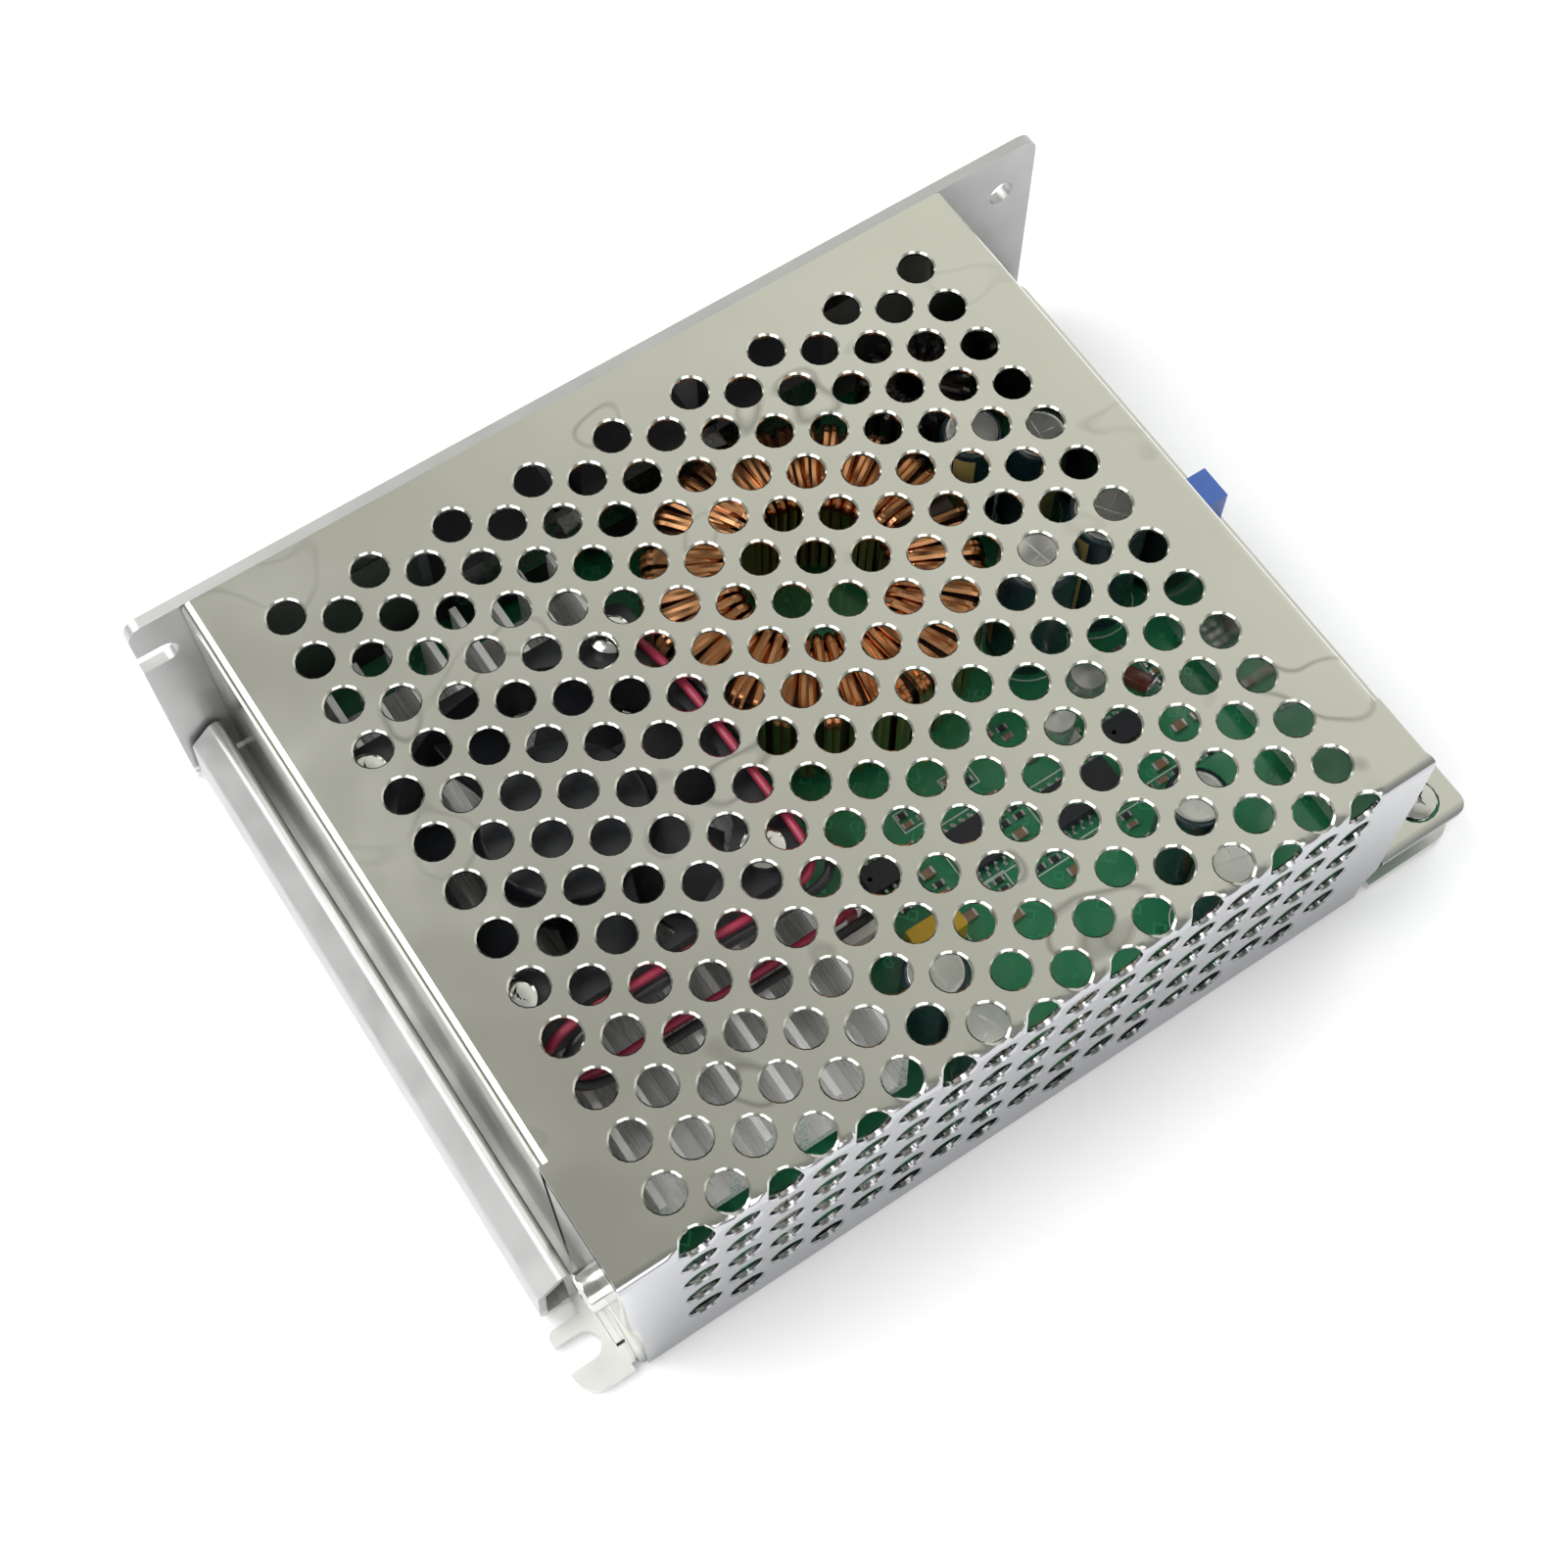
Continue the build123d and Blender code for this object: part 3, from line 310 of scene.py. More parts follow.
def sheet_part(line, outline, rings, thickness, spread, rounds=(), rim=0.0, spacing=1.0):
    """Sheet drawn flat in u and v, with holes, laid along a section; spread makes the 3-D point.
    rings are holes of any outline, rounds are circles (u, v, radius), bevelled where rim isn't 0."""
    half = thickness / 2
    bends = [station[0] for station in line[1:-1]]
    cut_outline = []
    for (ax, ay), (bx, by) in zip(outline, outline[1:] + outline[:1]):
        cut_outline.append((ax, ay))
        marks = sorted((v - ay) / (by - ay) for v in bends if (v - ay) * (v - by) < -1e-9) if ay != by else []
        cut_outline += [(ax + (bx - ax) * t, ay + (by - ay) * t) for t in marks]
    circles = [circle(u, v, radius + rim) for u, v, radius in rounds]
    edges, points = [], []
    for ring in [cut_outline, *rings, *circles]:
        start = len(points)
        points += ring
        edges += [(start + i, start + (i + 1) % len(ring)) for i in range(len(ring))]
    low, high = min(p[0] for p in outline), max(p[0] for p in outline)
    for v in bends:
        count = int((high - low) / spacing)
        for i in range(1, count):
            spot = (low + (high - low) * i / count, v)
            near = any(hypot(spot[0] - u, v - y) < radius + rim + 0.25 for u, y, radius in rounds)
            if not near and inside(spot, outline) and not any(inside(spot, ring) for ring in rings):
                points.append(spot)
    flat, _, faces, *_ = delaunay_2d_cdt([Vector(p) for p in points], edges, [], 1, 1e-5)
    kept = []
    for face in faces:
        middle = sum((flat[i] for i in face), Vector((0, 0))) / len(face)
        punched = any(hypot(middle.x - u, middle.y - y) < r + rim for u, y, r in rounds)
        if not punched and inside(middle, outline) and not any(inside(middle, ring) for ring in rings):
            kept.append(tuple(face))
    size = len(flat)
    solid = [spread(p.x, laid(line, p.y, height)) for height in (half, -half) for p in flat]
    found = kept + [tuple(size + i for i in reversed(face)) for face in kept]
    seen = dict.fromkeys((a, b) for face in kept for a, b in zip(face, face[1:] + face[:1]))
    walls = [(a, b) for a, b in seen if (b, a) not in seen]
    ring_of = {}
    if rim:
        for number, (u, y, radius) in enumerate(rounds):
            for a, b in walls:
                if abs(hypot(flat[a].x - u, flat[a].y - y) - radius - rim) < 0.01:
                    ring_of[a] = number
    inner = {}
    for i, number in ring_of.items():
        u, y, radius = rounds[number]
        pull = radius / (radius + rim)
        at = (u + (flat[i].x - u) * pull, y + (flat[i].y - y) * pull)
        inner[i] = len(solid)
        solid.append(spread(at[0], laid(line, at[1], half - rim)))
        solid.append(spread(at[0], laid(line, at[1], rim - half)))
    for a, b in walls:
        if a in inner and b in inner:
            found.append((a, inner[a], inner[b], b))
            found.append((inner[a], inner[a] + 1, inner[b] + 1, inner[b]))
            found.append((inner[a] + 1, size + a, size + b, inner[b] + 1))
        else:
            found.append((a, size + a, size + b, b))
    return solid, found


def along_x(u, p):
    """Point of a sheet whose folds run along X; the next two do the same for Y and Z."""
    return (u, p.x, p.y)


def along_y(u, p):
    return (p.x, u, p.y)


def along_z(u, p):
    return (p.x, p.y, u)


# tin plated steel: a bright, slightly wavy mirror with thin grey lines painted along its dents as reflections
# of edges in the wavy sheet, and painted shade towards the foot of the side wall; its lines are drawn wider than
# real ones, so that they show
tree, shader = look("tinned_steel", "#d4d4ce", Metallic=1.0, Roughness=0.2)
dents = noise(tree, 13.0, 1.0)
contour = add(tree, "ShaderNodeMath", {0: dents, 1: 3.0}, operation="MULTIPLY").outputs[0]
contour = add(tree, "ShaderNodeMath", {0: contour, 1: 1.0}, operation="PINGPONG").outputs[0]
lines = between(tree, contour, 0.0, 0.07)
cloudy = blended(tree, noise(tree, 30.0), "#cfcfc8", "#dadad4")
# painted reflection: grey lines along the dents' contours stand for edges mirrored in the wavy sheet
painted_reflection_lines = blended(tree, between(tree, noise(tree, 22.0), 0.4, 0.6), "#cbcbc4", "#a8a8a2")
top_colour = blended(tree, lines, painted_reflection_lines, cloudy)
spot = add(tree, "ShaderNodeSeparateXYZ", {"Vector": object_place(tree)})
# painted reflection and shade: the side wall gets its own bluish grey, darker towards its foot
side_wall_painted_shade = blended(tree, between(tree, spot.outputs["Z"], 2.0, 34.0), "#85878b", "#bcbdc0")
on_side = between(tree, spot.outputs["Y"], -47.2, -48.3)
tree.links.new(blended(tree, on_side, top_colour, side_wall_painted_shade), shader.inputs["Base Color"])
tree.links.new(between(tree, noise(tree, 14.0), 0.3, 0.7, 0.12, 0.2), shader.inputs["Roughness"])
bumped(tree, shader, dents, 0.12)

SHEET = 0.8
LEFT, RIGHT, BACK, FRONT, TOP = -57.5, 49.5, 46.7, -48.1, 37.6
TOP_LENGTH = BACK - FRONT
COVER_BEND = 0.8
HOLE_RADIUS, HOLE_RIM = 2.25, 0.22
HOLE_STEP_X, HOLE_STEP_Y = 11, 6.75
FIRST_HOLE, COLUMNS = 40.0, 9
ROWS_ON_TOP = 13
HALF_ROWS = 36
FOLD_LOSS = 0.34
hole_places = []
for half_row in range(HALF_ROWS):
    row = half_row / 2
    full = half_row % 2 == 0
    first = FIRST_HOLE if full else FIRST_HOLE - HOLE_STEP_X / 2
    count = COLUMNS if full else COLUMNS - 1
    if row <= ROWS_ON_TOP:
        v = BACK - 38.8 + HOLE_STEP_Y * row
    else:
        v = TOP_LENGTH - FOLD_LOSS + TOP - 38 + HOLE_STEP_Y * (row - 12.85)
    hole_places += [(first - HOLE_STEP_X * i, v, HOLE_RADIUS) for i in range(count)]
main = section([(BACK, TOP), (FRONT, TOP), (FRONT, 0.3)], COVER_BEND)
foot = main[-1][0]
fold_end = TOP_LENGTH + 0.8
LUGS = (-34.0, 36.0)
LEFT_EDGE, RIGHT_EDGE = LEFT + 1.2, RIGHT - 1.2
blank = [(LEFT_EDGE, 0), (LEFT_EDGE, BACK + 32.7), (LEFT, BACK + 32.7), (LEFT, fold_end),
         (LEFT_EDGE, fold_end + 1.2), (LEFT_EDGE, foot), (RIGHT - 1.4, foot), (RIGHT - 1.4, foot - 3.7),
         (RIGHT + 0.4, foot - 6.7), (RIGHT + 0.4, fold_end - 1.0), (RIGHT, fold_end - 2.2),
         (RIGHT, BACK + 38.7), (RIGHT_EDGE, BACK + 38.7), (RIGHT_EDGE, 0)]
cover_parts = [sheet_part(main, blank, [], SHEET, along_x, hole_places, HOLE_RIM)]


def cover_part(line, ring, spread, rings=(), rounds=(), spacing=12.0):
    """Adds one wall of the cover, drawn flat, to its parts."""
    cover_parts.append(sheet_part(line, ring, rings, SHEET, spread, rounds, spacing=spacing))


def oblong(low_u, low_v, high_u, high_v):
    """Ring of four corners."""
    return [(low_u, low_v), (high_u, low_v), (high_u, high_v), (low_u, high_v)]


left = section([(LEFT_EDGE, TOP), (LEFT + 0.4, TOP), (LEFT + 0.4, 1.7)], COVER_BEND)
cover_part(left, oblong(-32.7, 0, BACK, left[-1][0]), along_y)
SHELF_EDGE, SHELF = 64.5, 7.6
TERMINALS = (35.3, 14.3, -7.7, -27.7)
right = section([(RIGHT_EDGE, TOP), (RIGHT - 0.4, TOP), (RIGHT - 0.4, SHELF), (SHELF_EDGE, SHELF)], COVER_BEND)
end_line = right[-1][0]
shelf_start = end_line - (SHELF_EDGE - RIGHT)
low, high = shelf_start + 1.4, shelf_start + 13.2
windows = [rounded(oblong(y - 6.2, low, y + 6.2, high), 0.8) for y in TERMINALS]
windows.append(rounded(oblong(-0.5, low, 5.5, high), 0.6))
wall_right = rounded(oblong(-38.7, 0, BACK, end_line), [0, 0, 1.8, 0])
cover_part(right, wall_right, along_y, windows, [(44.0, shelf_start + 9.8, 3.0)])
low_wall = section([(RIGHT - 0.4, 34.0), (RIGHT - 0.4, SHELF), (SHELF_EDGE, SHELF)], COVER_BEND)
low_end = low_wall[-1][0]
low_outline = rounded([(-47.5, 0), (-38.7, 0), (-38.7, low_end), (-48.5, low_end), (-48.5, low_end - 14.0),
                       (-47.5, low_end - 14.0)], [0, 0, 0, 1.8, 0, 0])
cover_part(low_wall, low_outline, along_y, rounds=[(-44.2, low_end - 5.2, 3.0)])
tab = section([(LEFT_EDGE, FRONT), (LEFT + 0.4, FRONT), (LEFT + 0.4, -33.7)], COVER_BEND)
tab_end = tab[-1][0]
cover_part(tab, oblong(1.7, 0, 35.5, tab_end), along_z, rounds=[(16.0, tab_end - 7.5, 1.7)])
lug = section([(BACK - 0.4, TOP - 0.35), (BACK - 0.4, 32.0), (BACK - 0.4, 27.0)], COVER_BEND)
lug_end = lug[-1][0]
for x in LUGS:
    cover_part(lug, oblong(x - 6, 0, x + 6, lug_end), along_x, rounds=[(x, lug_end - 4.5, 1.5)], spacing=6.0)
piece("perforated_cover", cover_parts, "tinned_steel", ["cover"])

# Chassis: aluminium sheet of 1.5 mm as it comes from the mill, with the base, the long wall and the
# channel at the left end. Drawn flat and folded as the cover is; the channel is drawn thinner than
# the sheet, at 1.0 mm.
# mill aluminium: a dull, even grey sheen; the base inside is painted whiter, as painted light on its upward face
tree, shader = grained("mill_aluminium", "#c6c7c6", "#bbbcbb", 6.0, 0.02, (0.36, 0.48), Metallic=0.85)
spot = add(tree, "ShaderNodeSeparateXYZ", {"Vector": object_place(tree)})
# painted light: the base's upward face, below 1.6 mm, is painted near white where it catches the light
painted_light_on_base = between(tree, spot.outputs["Z"], 1.6, 2.6)
dull = blended(tree, noise(tree, 8.0), "#c2c3c2", "#b4b5b5")
tree.links.new(blended(tree, painted_light_on_base, "#d6d6d4", dull), shader.inputs["Base Color"])
END, SIDE, WALL_TOP = 64.5, 48.5, 37.5
CHASSIS_SHEET, CHASSIS_BEND = 1.5, 1.25
wall_middle = SIDE - CHASSIS_SHEET / 2
base = section([(-SIDE, 0.75), (wall_middle, 0.75), (wall_middle, WALL_TOP)], CHASSIS_BEND)
wall_top = base[-1][0]
wall_foot = wall_top - WALL_TOP
SLOT_END, SLOT_ROUND = -59.5, 1.79
slot_low, slot_high = wall_foot + 28.2, wall_foot + 31.8
outline = [(-END, 0), (-58.0, 0), (-58.0, 0.9), (50.2, 0.9), (50.2, 0), (END, 0), (END, wall_top), (-END, wall_top),
           (-END, slot_high), (SLOT_END, slot_high), (SLOT_END, slot_low), (-END, slot_low),
           (-END, 94.9), (-61.0, 94.9), (-61.0, 11.3), (-60.0, 11.3), (-60.0, 9.1), (-END, 9.1),
           (-END, 7.2), (SLOT_END, 7.2), (SLOT_END, 3.6), (-END, 3.6)]
radii = [3.0, 0, 0, 0, 0, 3.5, 2.0, 2.0, 0, SLOT_ROUND, SLOT_ROUND, 0,
         0, 0, 0, 0, 0, 1.0, 0, SLOT_ROUND, SLOT_ROUND, 0]
window = oblong(-58.35, 3.3, -38.0, 11.3)
CLINCHED = ((59.3, -44.2), (59.3, 44.0), (-50.5, 42.5), (-34.5, -44.1), (10.0, -44.1))
wall_rounds = [(59.5, wall_foot + 30.0, 1.8)]
wall_rounds += [(x, wall_foot + 31.5, 2.75) for x in LUGS]
wall_rounds += [(x, wall_foot + 19.0, 1.5) for x in (-9.5, 10.5)]
sockets = [circle(x, y + SIDE, 2.6, 6) for x, y in CLINCHED]
chassis_parts = [sheet_part(base, rounded(outline, radii), [window, *sockets], CHASSIS_SHEET, along_x, wall_rounds,
                            spacing=12.0)]
channel = section([(-60.5, 0.5), (-63.5, 0.5), (-62.99, 8.02), (-59.4, 11.15), (-59.4, 1.8)], 0.6)
CHANNEL_SHEET = 1.0
channel_ring = oblong(-37.2, 0, 46.4, channel[-1][0])
chassis_parts.append(sheet_part(channel, channel_ring, [], CHANNEL_SHEET, along_y, spacing=12.0))
lanced = section([(-58.4, 0.75), (-55.95, 0.75), (-55.95, 20.5)], CHASSIS_BEND)
chassis_parts.append(sheet_part(lanced, oblong(-44.8, 0, -37.6, lanced[-1][0]), [], CHASSIS_SHEET, along_y,
                                spacing=6.0))
piece("folded_chassis", chassis_parts, "mill_aluminium", ["chassis"])

# Screws: cold headed steel, plated. Pan heads with a cross recess hold the board, the cover's corner
# and the fan, and two sunk heads go through the long wall into the cover's lugs.


def ringed(points, steps):
    """Solid from rings of points, one above another, closed at both ends."""
    faces = []
    for start in range(0, len(points) - steps, steps):
        for i in range(steps):
            j = (i + 1) % steps
            faces.append((start + i, start + j, start + steps + j, start + steps + i))
    return points, faces + [tuple(range(steps)), tuple(range(len(points) - steps, len(points)))]


def turned(profile, steps=24, at=(0, 0, 0)):
    """Solid of revolution: radius and height from the bottom of its axis to the top."""
    points = []
    for radius, height in profile:
        points += [Vector((radius * cos(tau * i / steps), radius * sin(tau * i / steps), height))
                   for i in range(steps)]
    matrix = Matrix.Translation(at)
    return ringed([matrix @ p for p in points], steps)


HEAD_SIDES = 24
HEAD_EDGE, HEAD_CROWN = 0.3, 0.35


def domed(radius, height):
    """Profile of a pan head from its underside to its crown."""
    return [(radius, 0.0), (radius, height - HEAD_CROWN - HEAD_EDGE),
            (radius - 0.25 * HEAD_EDGE, height - HEAD_CROWN - 0.3 * HEAD_EDGE),
            (radius - HEAD_EDGE, height - HEAD_CROWN), (0.72 * radius, height - 0.3 * HEAD_CROWN)]


def recessed_head(radius, height, size=1.45, depth=1.2):
    """Pan head whose crown has a cross recess with arms of one size."""
    angles = [tau * i / HEAD_SIDES for i in range(HEAD_SIDES)]
    points = []
    for r, z in domed(radius, height):
        points += [(r * cos(a), r * sin(a), z) for a in angles]
    rim = []
    for a in angles:
        reach = size if abs(sin(2 * a)) < 0.35 else size * 0.45
        rim.append((reach * cos(a), reach * sin(a)))
    points += [(x, y, height - 0.12) for x, y in rim]
    points += [(0.75 * x, 0.75 * y, height - depth) for x, y in rim]
    return ringed(points, HEAD_SIDES)


def shank(length, radius=1.45, steps=12):
    """Plain shank below a head."""
    return turned([(radius, -length), (radius, 0.0)], steps)


def moved(part, at, turn=None):
    """Part turned about the origin and then put in place."""
    matrix = Matrix.Translation(at) @ (turn or Matrix())
    return [matrix @ Vector(p) for p in part[0]], part[1]


def spun(degrees_x=0, degrees_y=0, degrees_z=0):
    """Turn about X, then Y, then Z."""
    return (Matrix.Rotation(radians(degrees_z), 4, "Z") @ Matrix.Rotation(radians(degrees_y), 4, "Y")
            @ Matrix.Rotation(radians(degrees_x), 4, "X"))


# zinc plate: a grey sheen, slightly cloudy
grained("zinc_plate", "#c3c4c4", "#a9aaab", 1.2, 0.01, (0.2, 0.36), Metallic=1.0)
# bright plate: nearly white with small sharp highlights on the crowns
grained("bright_plate", "#dcdcda", "#c8c8c6", 1.5, 0.005, (0.1, 0.2), Metallic=1.0)
BOARD_TOP = 6.6
HEAD_RADIUS, HEAD_HEIGHT = 2.6, 2.2
pan_head = recessed_head(HEAD_RADIUS, HEAD_HEIGHT)
parts = []
for number, (x, y) in enumerate(CLINCHED):
    turn = spun(0, 0, 17 + 40 * number)
    parts += [moved(pan_head, (x, y, BOARD_TOP), turn), moved(shank(5.4), (x, y, BOARD_TOP))]
piece("board_pan_screws", parts, "bright_plate", ["board_screws"])
corner_screw = (LEFT, -41.2, 16.0)
parts = [moved(part, corner_screw, spun(0, -90, 0)) for part in (pan_head, shank(4.0))]
sunk = turned([(1.45, -4.0), (1.45, -1.2), (2.65, -0.15), (2.7, -0.02), (1.2, -0.02), (0.7, -0.9)])
for x in LUGS:
    parts.append(moved(sunk, (x, SIDE, 31.5), spun(-90, 0, 0)))
piece("cover_fixings", parts, "bright_plate", ["cover_screws"])
FAN_X, FAN_Y, FAN_BOTTOM, FAN_TOP = -33.9, 1.1, 25.0, 35.0
FAN_HOLE_REACH = 16
FAN_HOLES = [(sx * FAN_HOLE_REACH, sy * FAN_HOLE_REACH) for sx in (-1, 1) for sy in (-1, 1)]
fan_screw = (recessed_head(HEAD_RADIUS, 1.8), shank(15.0))
parts = []
for x, y in FAN_HOLES:
    turn = spun(0, 0, (30 * x + 12 * y) / FAN_HOLE_REACH)
    parts += [moved(part, (FAN_X + x, FAN_Y + y, FAN_TOP), turn) for part in fan_screw]
piece("fan_pan_screws", parts, "bright_plate", ["fan_screws"])

# Circuit board: glass epoxy with etched copper tracks under a green solder mask, routed to size and
# screwed down on five clinched standoffs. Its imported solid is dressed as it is.
# solder mask: a glossy green, paler and slightly raised where copper lies under it
tree, shader = look("solder_mask", "#1c6e47", Roughness=0.32, Coat_Weight=0.3)
tracks = add(tree, "ShaderNodeTexVoronoi", {"Vector": object_place(tree), "Scale": 0.32}, distance="MANHATTAN")
edge = between(tree, tracks.outputs["Distance"], 0.30, 0.34)
far = between(tree, tracks.outputs["Distance"], 0.48, 0.44)
track = add(tree, "ShaderNodeMath", {0: edge, 1: far}, operation="MULTIPLY").outputs[0]
areas = between(tree, noise(tree, 14.0, 0.0), 0.47, 0.5)
ground = blended(tree, areas, "#1f7249", "#2b8a5b")
tree.links.new(blended(tree, track, ground, "#379b6b"), shader.inputs["Base Color"])
bumped(tree, shader, track, 0.05)
CARRIED = {"circuit_board": "solder_mask"}

# Heatsink, pins, standoffs and the clamped devices: extruded, turned, stamped and moulded parts,
# pinned or clamped in place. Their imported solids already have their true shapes.
# extruded aluminium: pale and satin, with fine draw lines along the fins, drawn coarser to show
tree, shader = look("extruded_aluminium", "#f0f0ee", Metallic=0.4, Roughness=0.3)
drawn = noise(tree, 0.6, 2.0, (1, 0.03, 1))
tree.links.new(between(tree, drawn, 0.3, 0.7, 0.22, 0.38), shader.inputs["Roughness"])
tree.links.new(blended(tree, noise(tree, 12.0), "#ececea", "#f8f8f6"), shader.inputs["Base Color"])
bumped(tree, shader, drawn, 0.02)
# moulded epoxy: dark grey and nearly matt
grained("moulded_epoxy", "#2a2b2f", "#33343a", 0.9, 0.02, (0.4, 0.55))
# silicone pad: a flat, rubbery mid grey
grained("silicone_pad", "#8d9095", "#7f8388", 0.7, 0.02, (0.6, 0.75))
CARRIED |= {"heatsink": "extruded_aluminium", "heatsink_pins": "zinc_plate", "board_standoffs": "zinc_plate",
            "switch_transistors": "moulded_epoxy", "wall_devices": "moulded_epoxy",
            "thermal_pad": "silicone_pad", "wall_insulator": "silicone_pad",
            "clamp_bar": "zinc_plate", "clamp_screws": "zinc_plate"}

# Fan: frame and rotor moulded in dark glass filled polyester, with a brass bearing pressed into the
# frame's boss and the rotor's shaft running in it. Four screws hold it on the heatsink.
# polyester: near black with a soft sheen
grained("fan_polyester", "#1b1d20", "#24262a", 1.1, 0.015, (0.34, 0.48))
# turned brass: yellow with a clear shine
grained("turned_brass", "#c9a75a", "#b8954a", 0.8, 0.01, (0.2, 0.34), Metallic=1.0)
CARRIED["fan_bearing"] = "turned_brass"
FAN = (FAN_X, FAN_Y, FAN_BOTTOM)
flat_line = section([(0, 0), (1000, 0)], 0.0)


def slab(ring, low, high, holes=()):
    """Flat plate between two heights with its holes."""
    middle = (low + high) / 2
    shift = 500.0
    lifted = [(x, y + shift) for x, y in ring]
    cuts = [[(x, y + shift) for x, y in hole] for hole in holes]
    return sheet_part(flat_line, lifted, cuts, high - low, lambda u, p: (u, p.x - shift, p.y + middle))


FAN_HALF, FAN_ROUND = 20, 1.8
frame_ring = rounded(oblong(-FAN_HALF, -FAN_HALF, FAN_HALF, FAN_HALF), FAN_ROUND)
notched = rounded([(-FAN_HALF, -FAN_HALF), (FAN_HALF, -FAN_HALF), (FAN_HALF, 7), (18, 7), (18, 16),
                   (FAN_HALF, 16), (FAN_HALF, FAN_HALF), (-FAN_HALF, FAN_HALF)],
                  [FAN_ROUND, FAN_ROUND, 0, 0, 0, 0, FAN_ROUND, FAN_ROUND])
bore = circle(0, 0, 18.8, 72)
cuts = [bore, *(circle(x, y, 1.7, 20) for x, y in FAN_HOLES)]
parts = [slab(frame_ring, 0.0, 5.8, cuts), slab(notched, 5.8, 10.0, cuts)]
boss = [(10.0, 0.0), (10.0, 1.2), (9.8, 1.4), (2.8, 1.4), (2.8, 4.2), (2.6, 4.4), (2.05, 4.4), (2.05, 1.4)]
parts.append(turned(boss, 40))
for angle in (20, 110, 200, 290):
    parts.append(moved(slab(oblong(9.5, -1.0, 19.2, 1.0), 0.02, 1.38), (0, 0, 0), spun(0, 0, angle)))
piece("fan_housing", [moved(part, FAN) for part in parts], "fan_polyester", ["fan_frame"])

HUB, BLADE_LENGTH, BLADES = 9.8, 8.1, 7
BLADE_LOW, BLADE_HIGH = 1.95, 9.05
ACROSS, ALONG = 9, 6


def impeller_blade():
    """Thin twisted blade: a front and a back grid of points, joined along their border."""
    points, faces = [], []
    for side in (0.42, -0.42):
        for i in range(ALONG):
            share = i / (ALONG - 1)
            radius = HUB + BLADE_LENGTH * share
            for j in range(ACROSS):
                t = j / (ACROSS - 1) - 0.5
                swing = t * radians(50 - 10 * share) * 9.0 / radius * 1.25
                pitch = 5.5 + 7.0 * t * (1 - 0.12 * abs(t)) + side * (1 - 0.75 * abs(2 * t) ** 3)
                angle = swing + 0.10 * sin(pi * (t + 0.5)) - side * 0.02
                height = min(max(pitch, BLADE_LOW), BLADE_HIGH)
                points.append(Vector((radius * cos(angle), radius * sin(angle), height)))
    size = ACROSS * ALONG
    for i in range(ALONG - 1):
        for j in range(ACROSS - 1):
            a = i * ACROSS + j
            faces.append((a, a + 1, a + ACROSS + 1, a + ACROSS))
            faces.append((size + a, size + a + ACROSS, size + a + ACROSS + 1, size + a + 1))
    border = list(range(ACROSS)) + [i * ACROSS + ACROSS - 1 for i in range(1, ALONG)]
    border += [(ALONG - 1) * ACROSS + j for j in range(ACROSS - 2, -1, -1)]
    border += [i * ACROSS for i in range(ALONG - 2, 0, -1)]
    for a, b in zip(border, border[1:] + border[:1]):
        faces.append((a, b, size + b, size + a))
    return points, faces


parts = [turned([(6.0, 1.9), (9.8, 1.9), (10.0, 2.1), (10.0, 8.7), (9.75, 9.15), (9.3, 9.4), (0.01, 9.42)], 56)]
for number in range(BLADES):
    parts.append(moved(impeller_blade(), (0, 0, 0), spun(0, 0, 360 / BLADES * number)))
parts.append(turned([(1.5, 0.8), (1.5, 5.5)]))
piece("fan_impeller", [moved(part, FAN) for part in parts], "fan_polyester", ["fan_rotor"], "rotor")

# Fan lead: two limp stranded wires in smooth extruded insulation, from the frame's recess round its
# corner, back under themselves and down into the white plug, held all the way.
# insulation: even colour with a soft long highlight; the red is a cool, deep one
WIRE_RADIUS = 0.6
grained("red_insulation", "#a3304a", "#8f2840", 2.0, 0.01, (0.3, 0.42))
grained("black_insulation", "#141416", "#1e1e21", 2.0, 0.01, (0.3, 0.42))
RED = [(-15.0, 15.4, 33.7), (-14.1, 9.8, 35.9), (-13.6, -4.6, 35.85), (-13.5, -12.4, 35.9), (-13.7, -20.2, 35.8),
       (-21.0, -21.0, 35.9), (-33.8, -20.5, 35.8), (-40.4, -20.6, 35.9), (-47.0, -20.3, 35.6),
       (-50.6, -21.3, 33.0), (-50.8, -22.9, 28.8), (-47.0, -23.8, 26.2), (-37.6, -23.4, 25.95),
       (-24.4, -23.8, 26.0), (-13.9, -23.3, 25.9), (-10.6, -22.1, 22.3), (-10.0, -21.6, 18.8), (-10.0, -21.6, 15.0)]
SHIFT = (1.6, -1.55, 0.2)
BLACK = [(-13.9, 12.9, 32.0), (-12.5, 8.9, 35.2)]
BLACK += [tuple(p + s for p, s in zip(point, SHIFT)) for point in RED[2:-4]]
BLACK += [(-12.2, -25.0, 26.1), (-8.5, -23.9, 22.6), (-8.2, -21.6, 18.8), (-8.2, -21.6, 15.0)]


def wire(name, route, skin, node):
    """Round wire along a smooth curve that its route steers."""
    curve = bpy.data.curves.new(name, "CURVE")
    curve.dimensions = "3D"
    curve.bevel_depth = WIRE_RADIUS * MM
    curve.bevel_resolution = 4
    curve.use_fill_caps = True
    spline = curve.splines.new("NURBS")
    spline.points.add(len(route) - 1)
    for point, place in zip(spline.points, route):
        point.co = (*(MM * p for p in place), 1.0)
    spline.order_u = 3
    spline.use_endpoint_u = True
    spline.resolution_u = 8
    curve.materials.append(SKIN[skin])
    made = bpy.data.objects.new(name, curve)
    bpy.context.scene.collection.objects.link(made)
    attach(made, "case")
    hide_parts(node)


wire("red_wire", RED, "red_insulation", "fan_wire_red")
wire("black_wire", BLACK, "black_insulation", "fan_wire_black")

# Plug and header: moulded white nylon with softened edges; the header is soldered to the board and
# the plug sits in it.
# nylon: warm white and softly shining
grained("white_nylon", "#ece9e0", "#e0dccf", 0.8, 0.01, (0.4, 0.55))


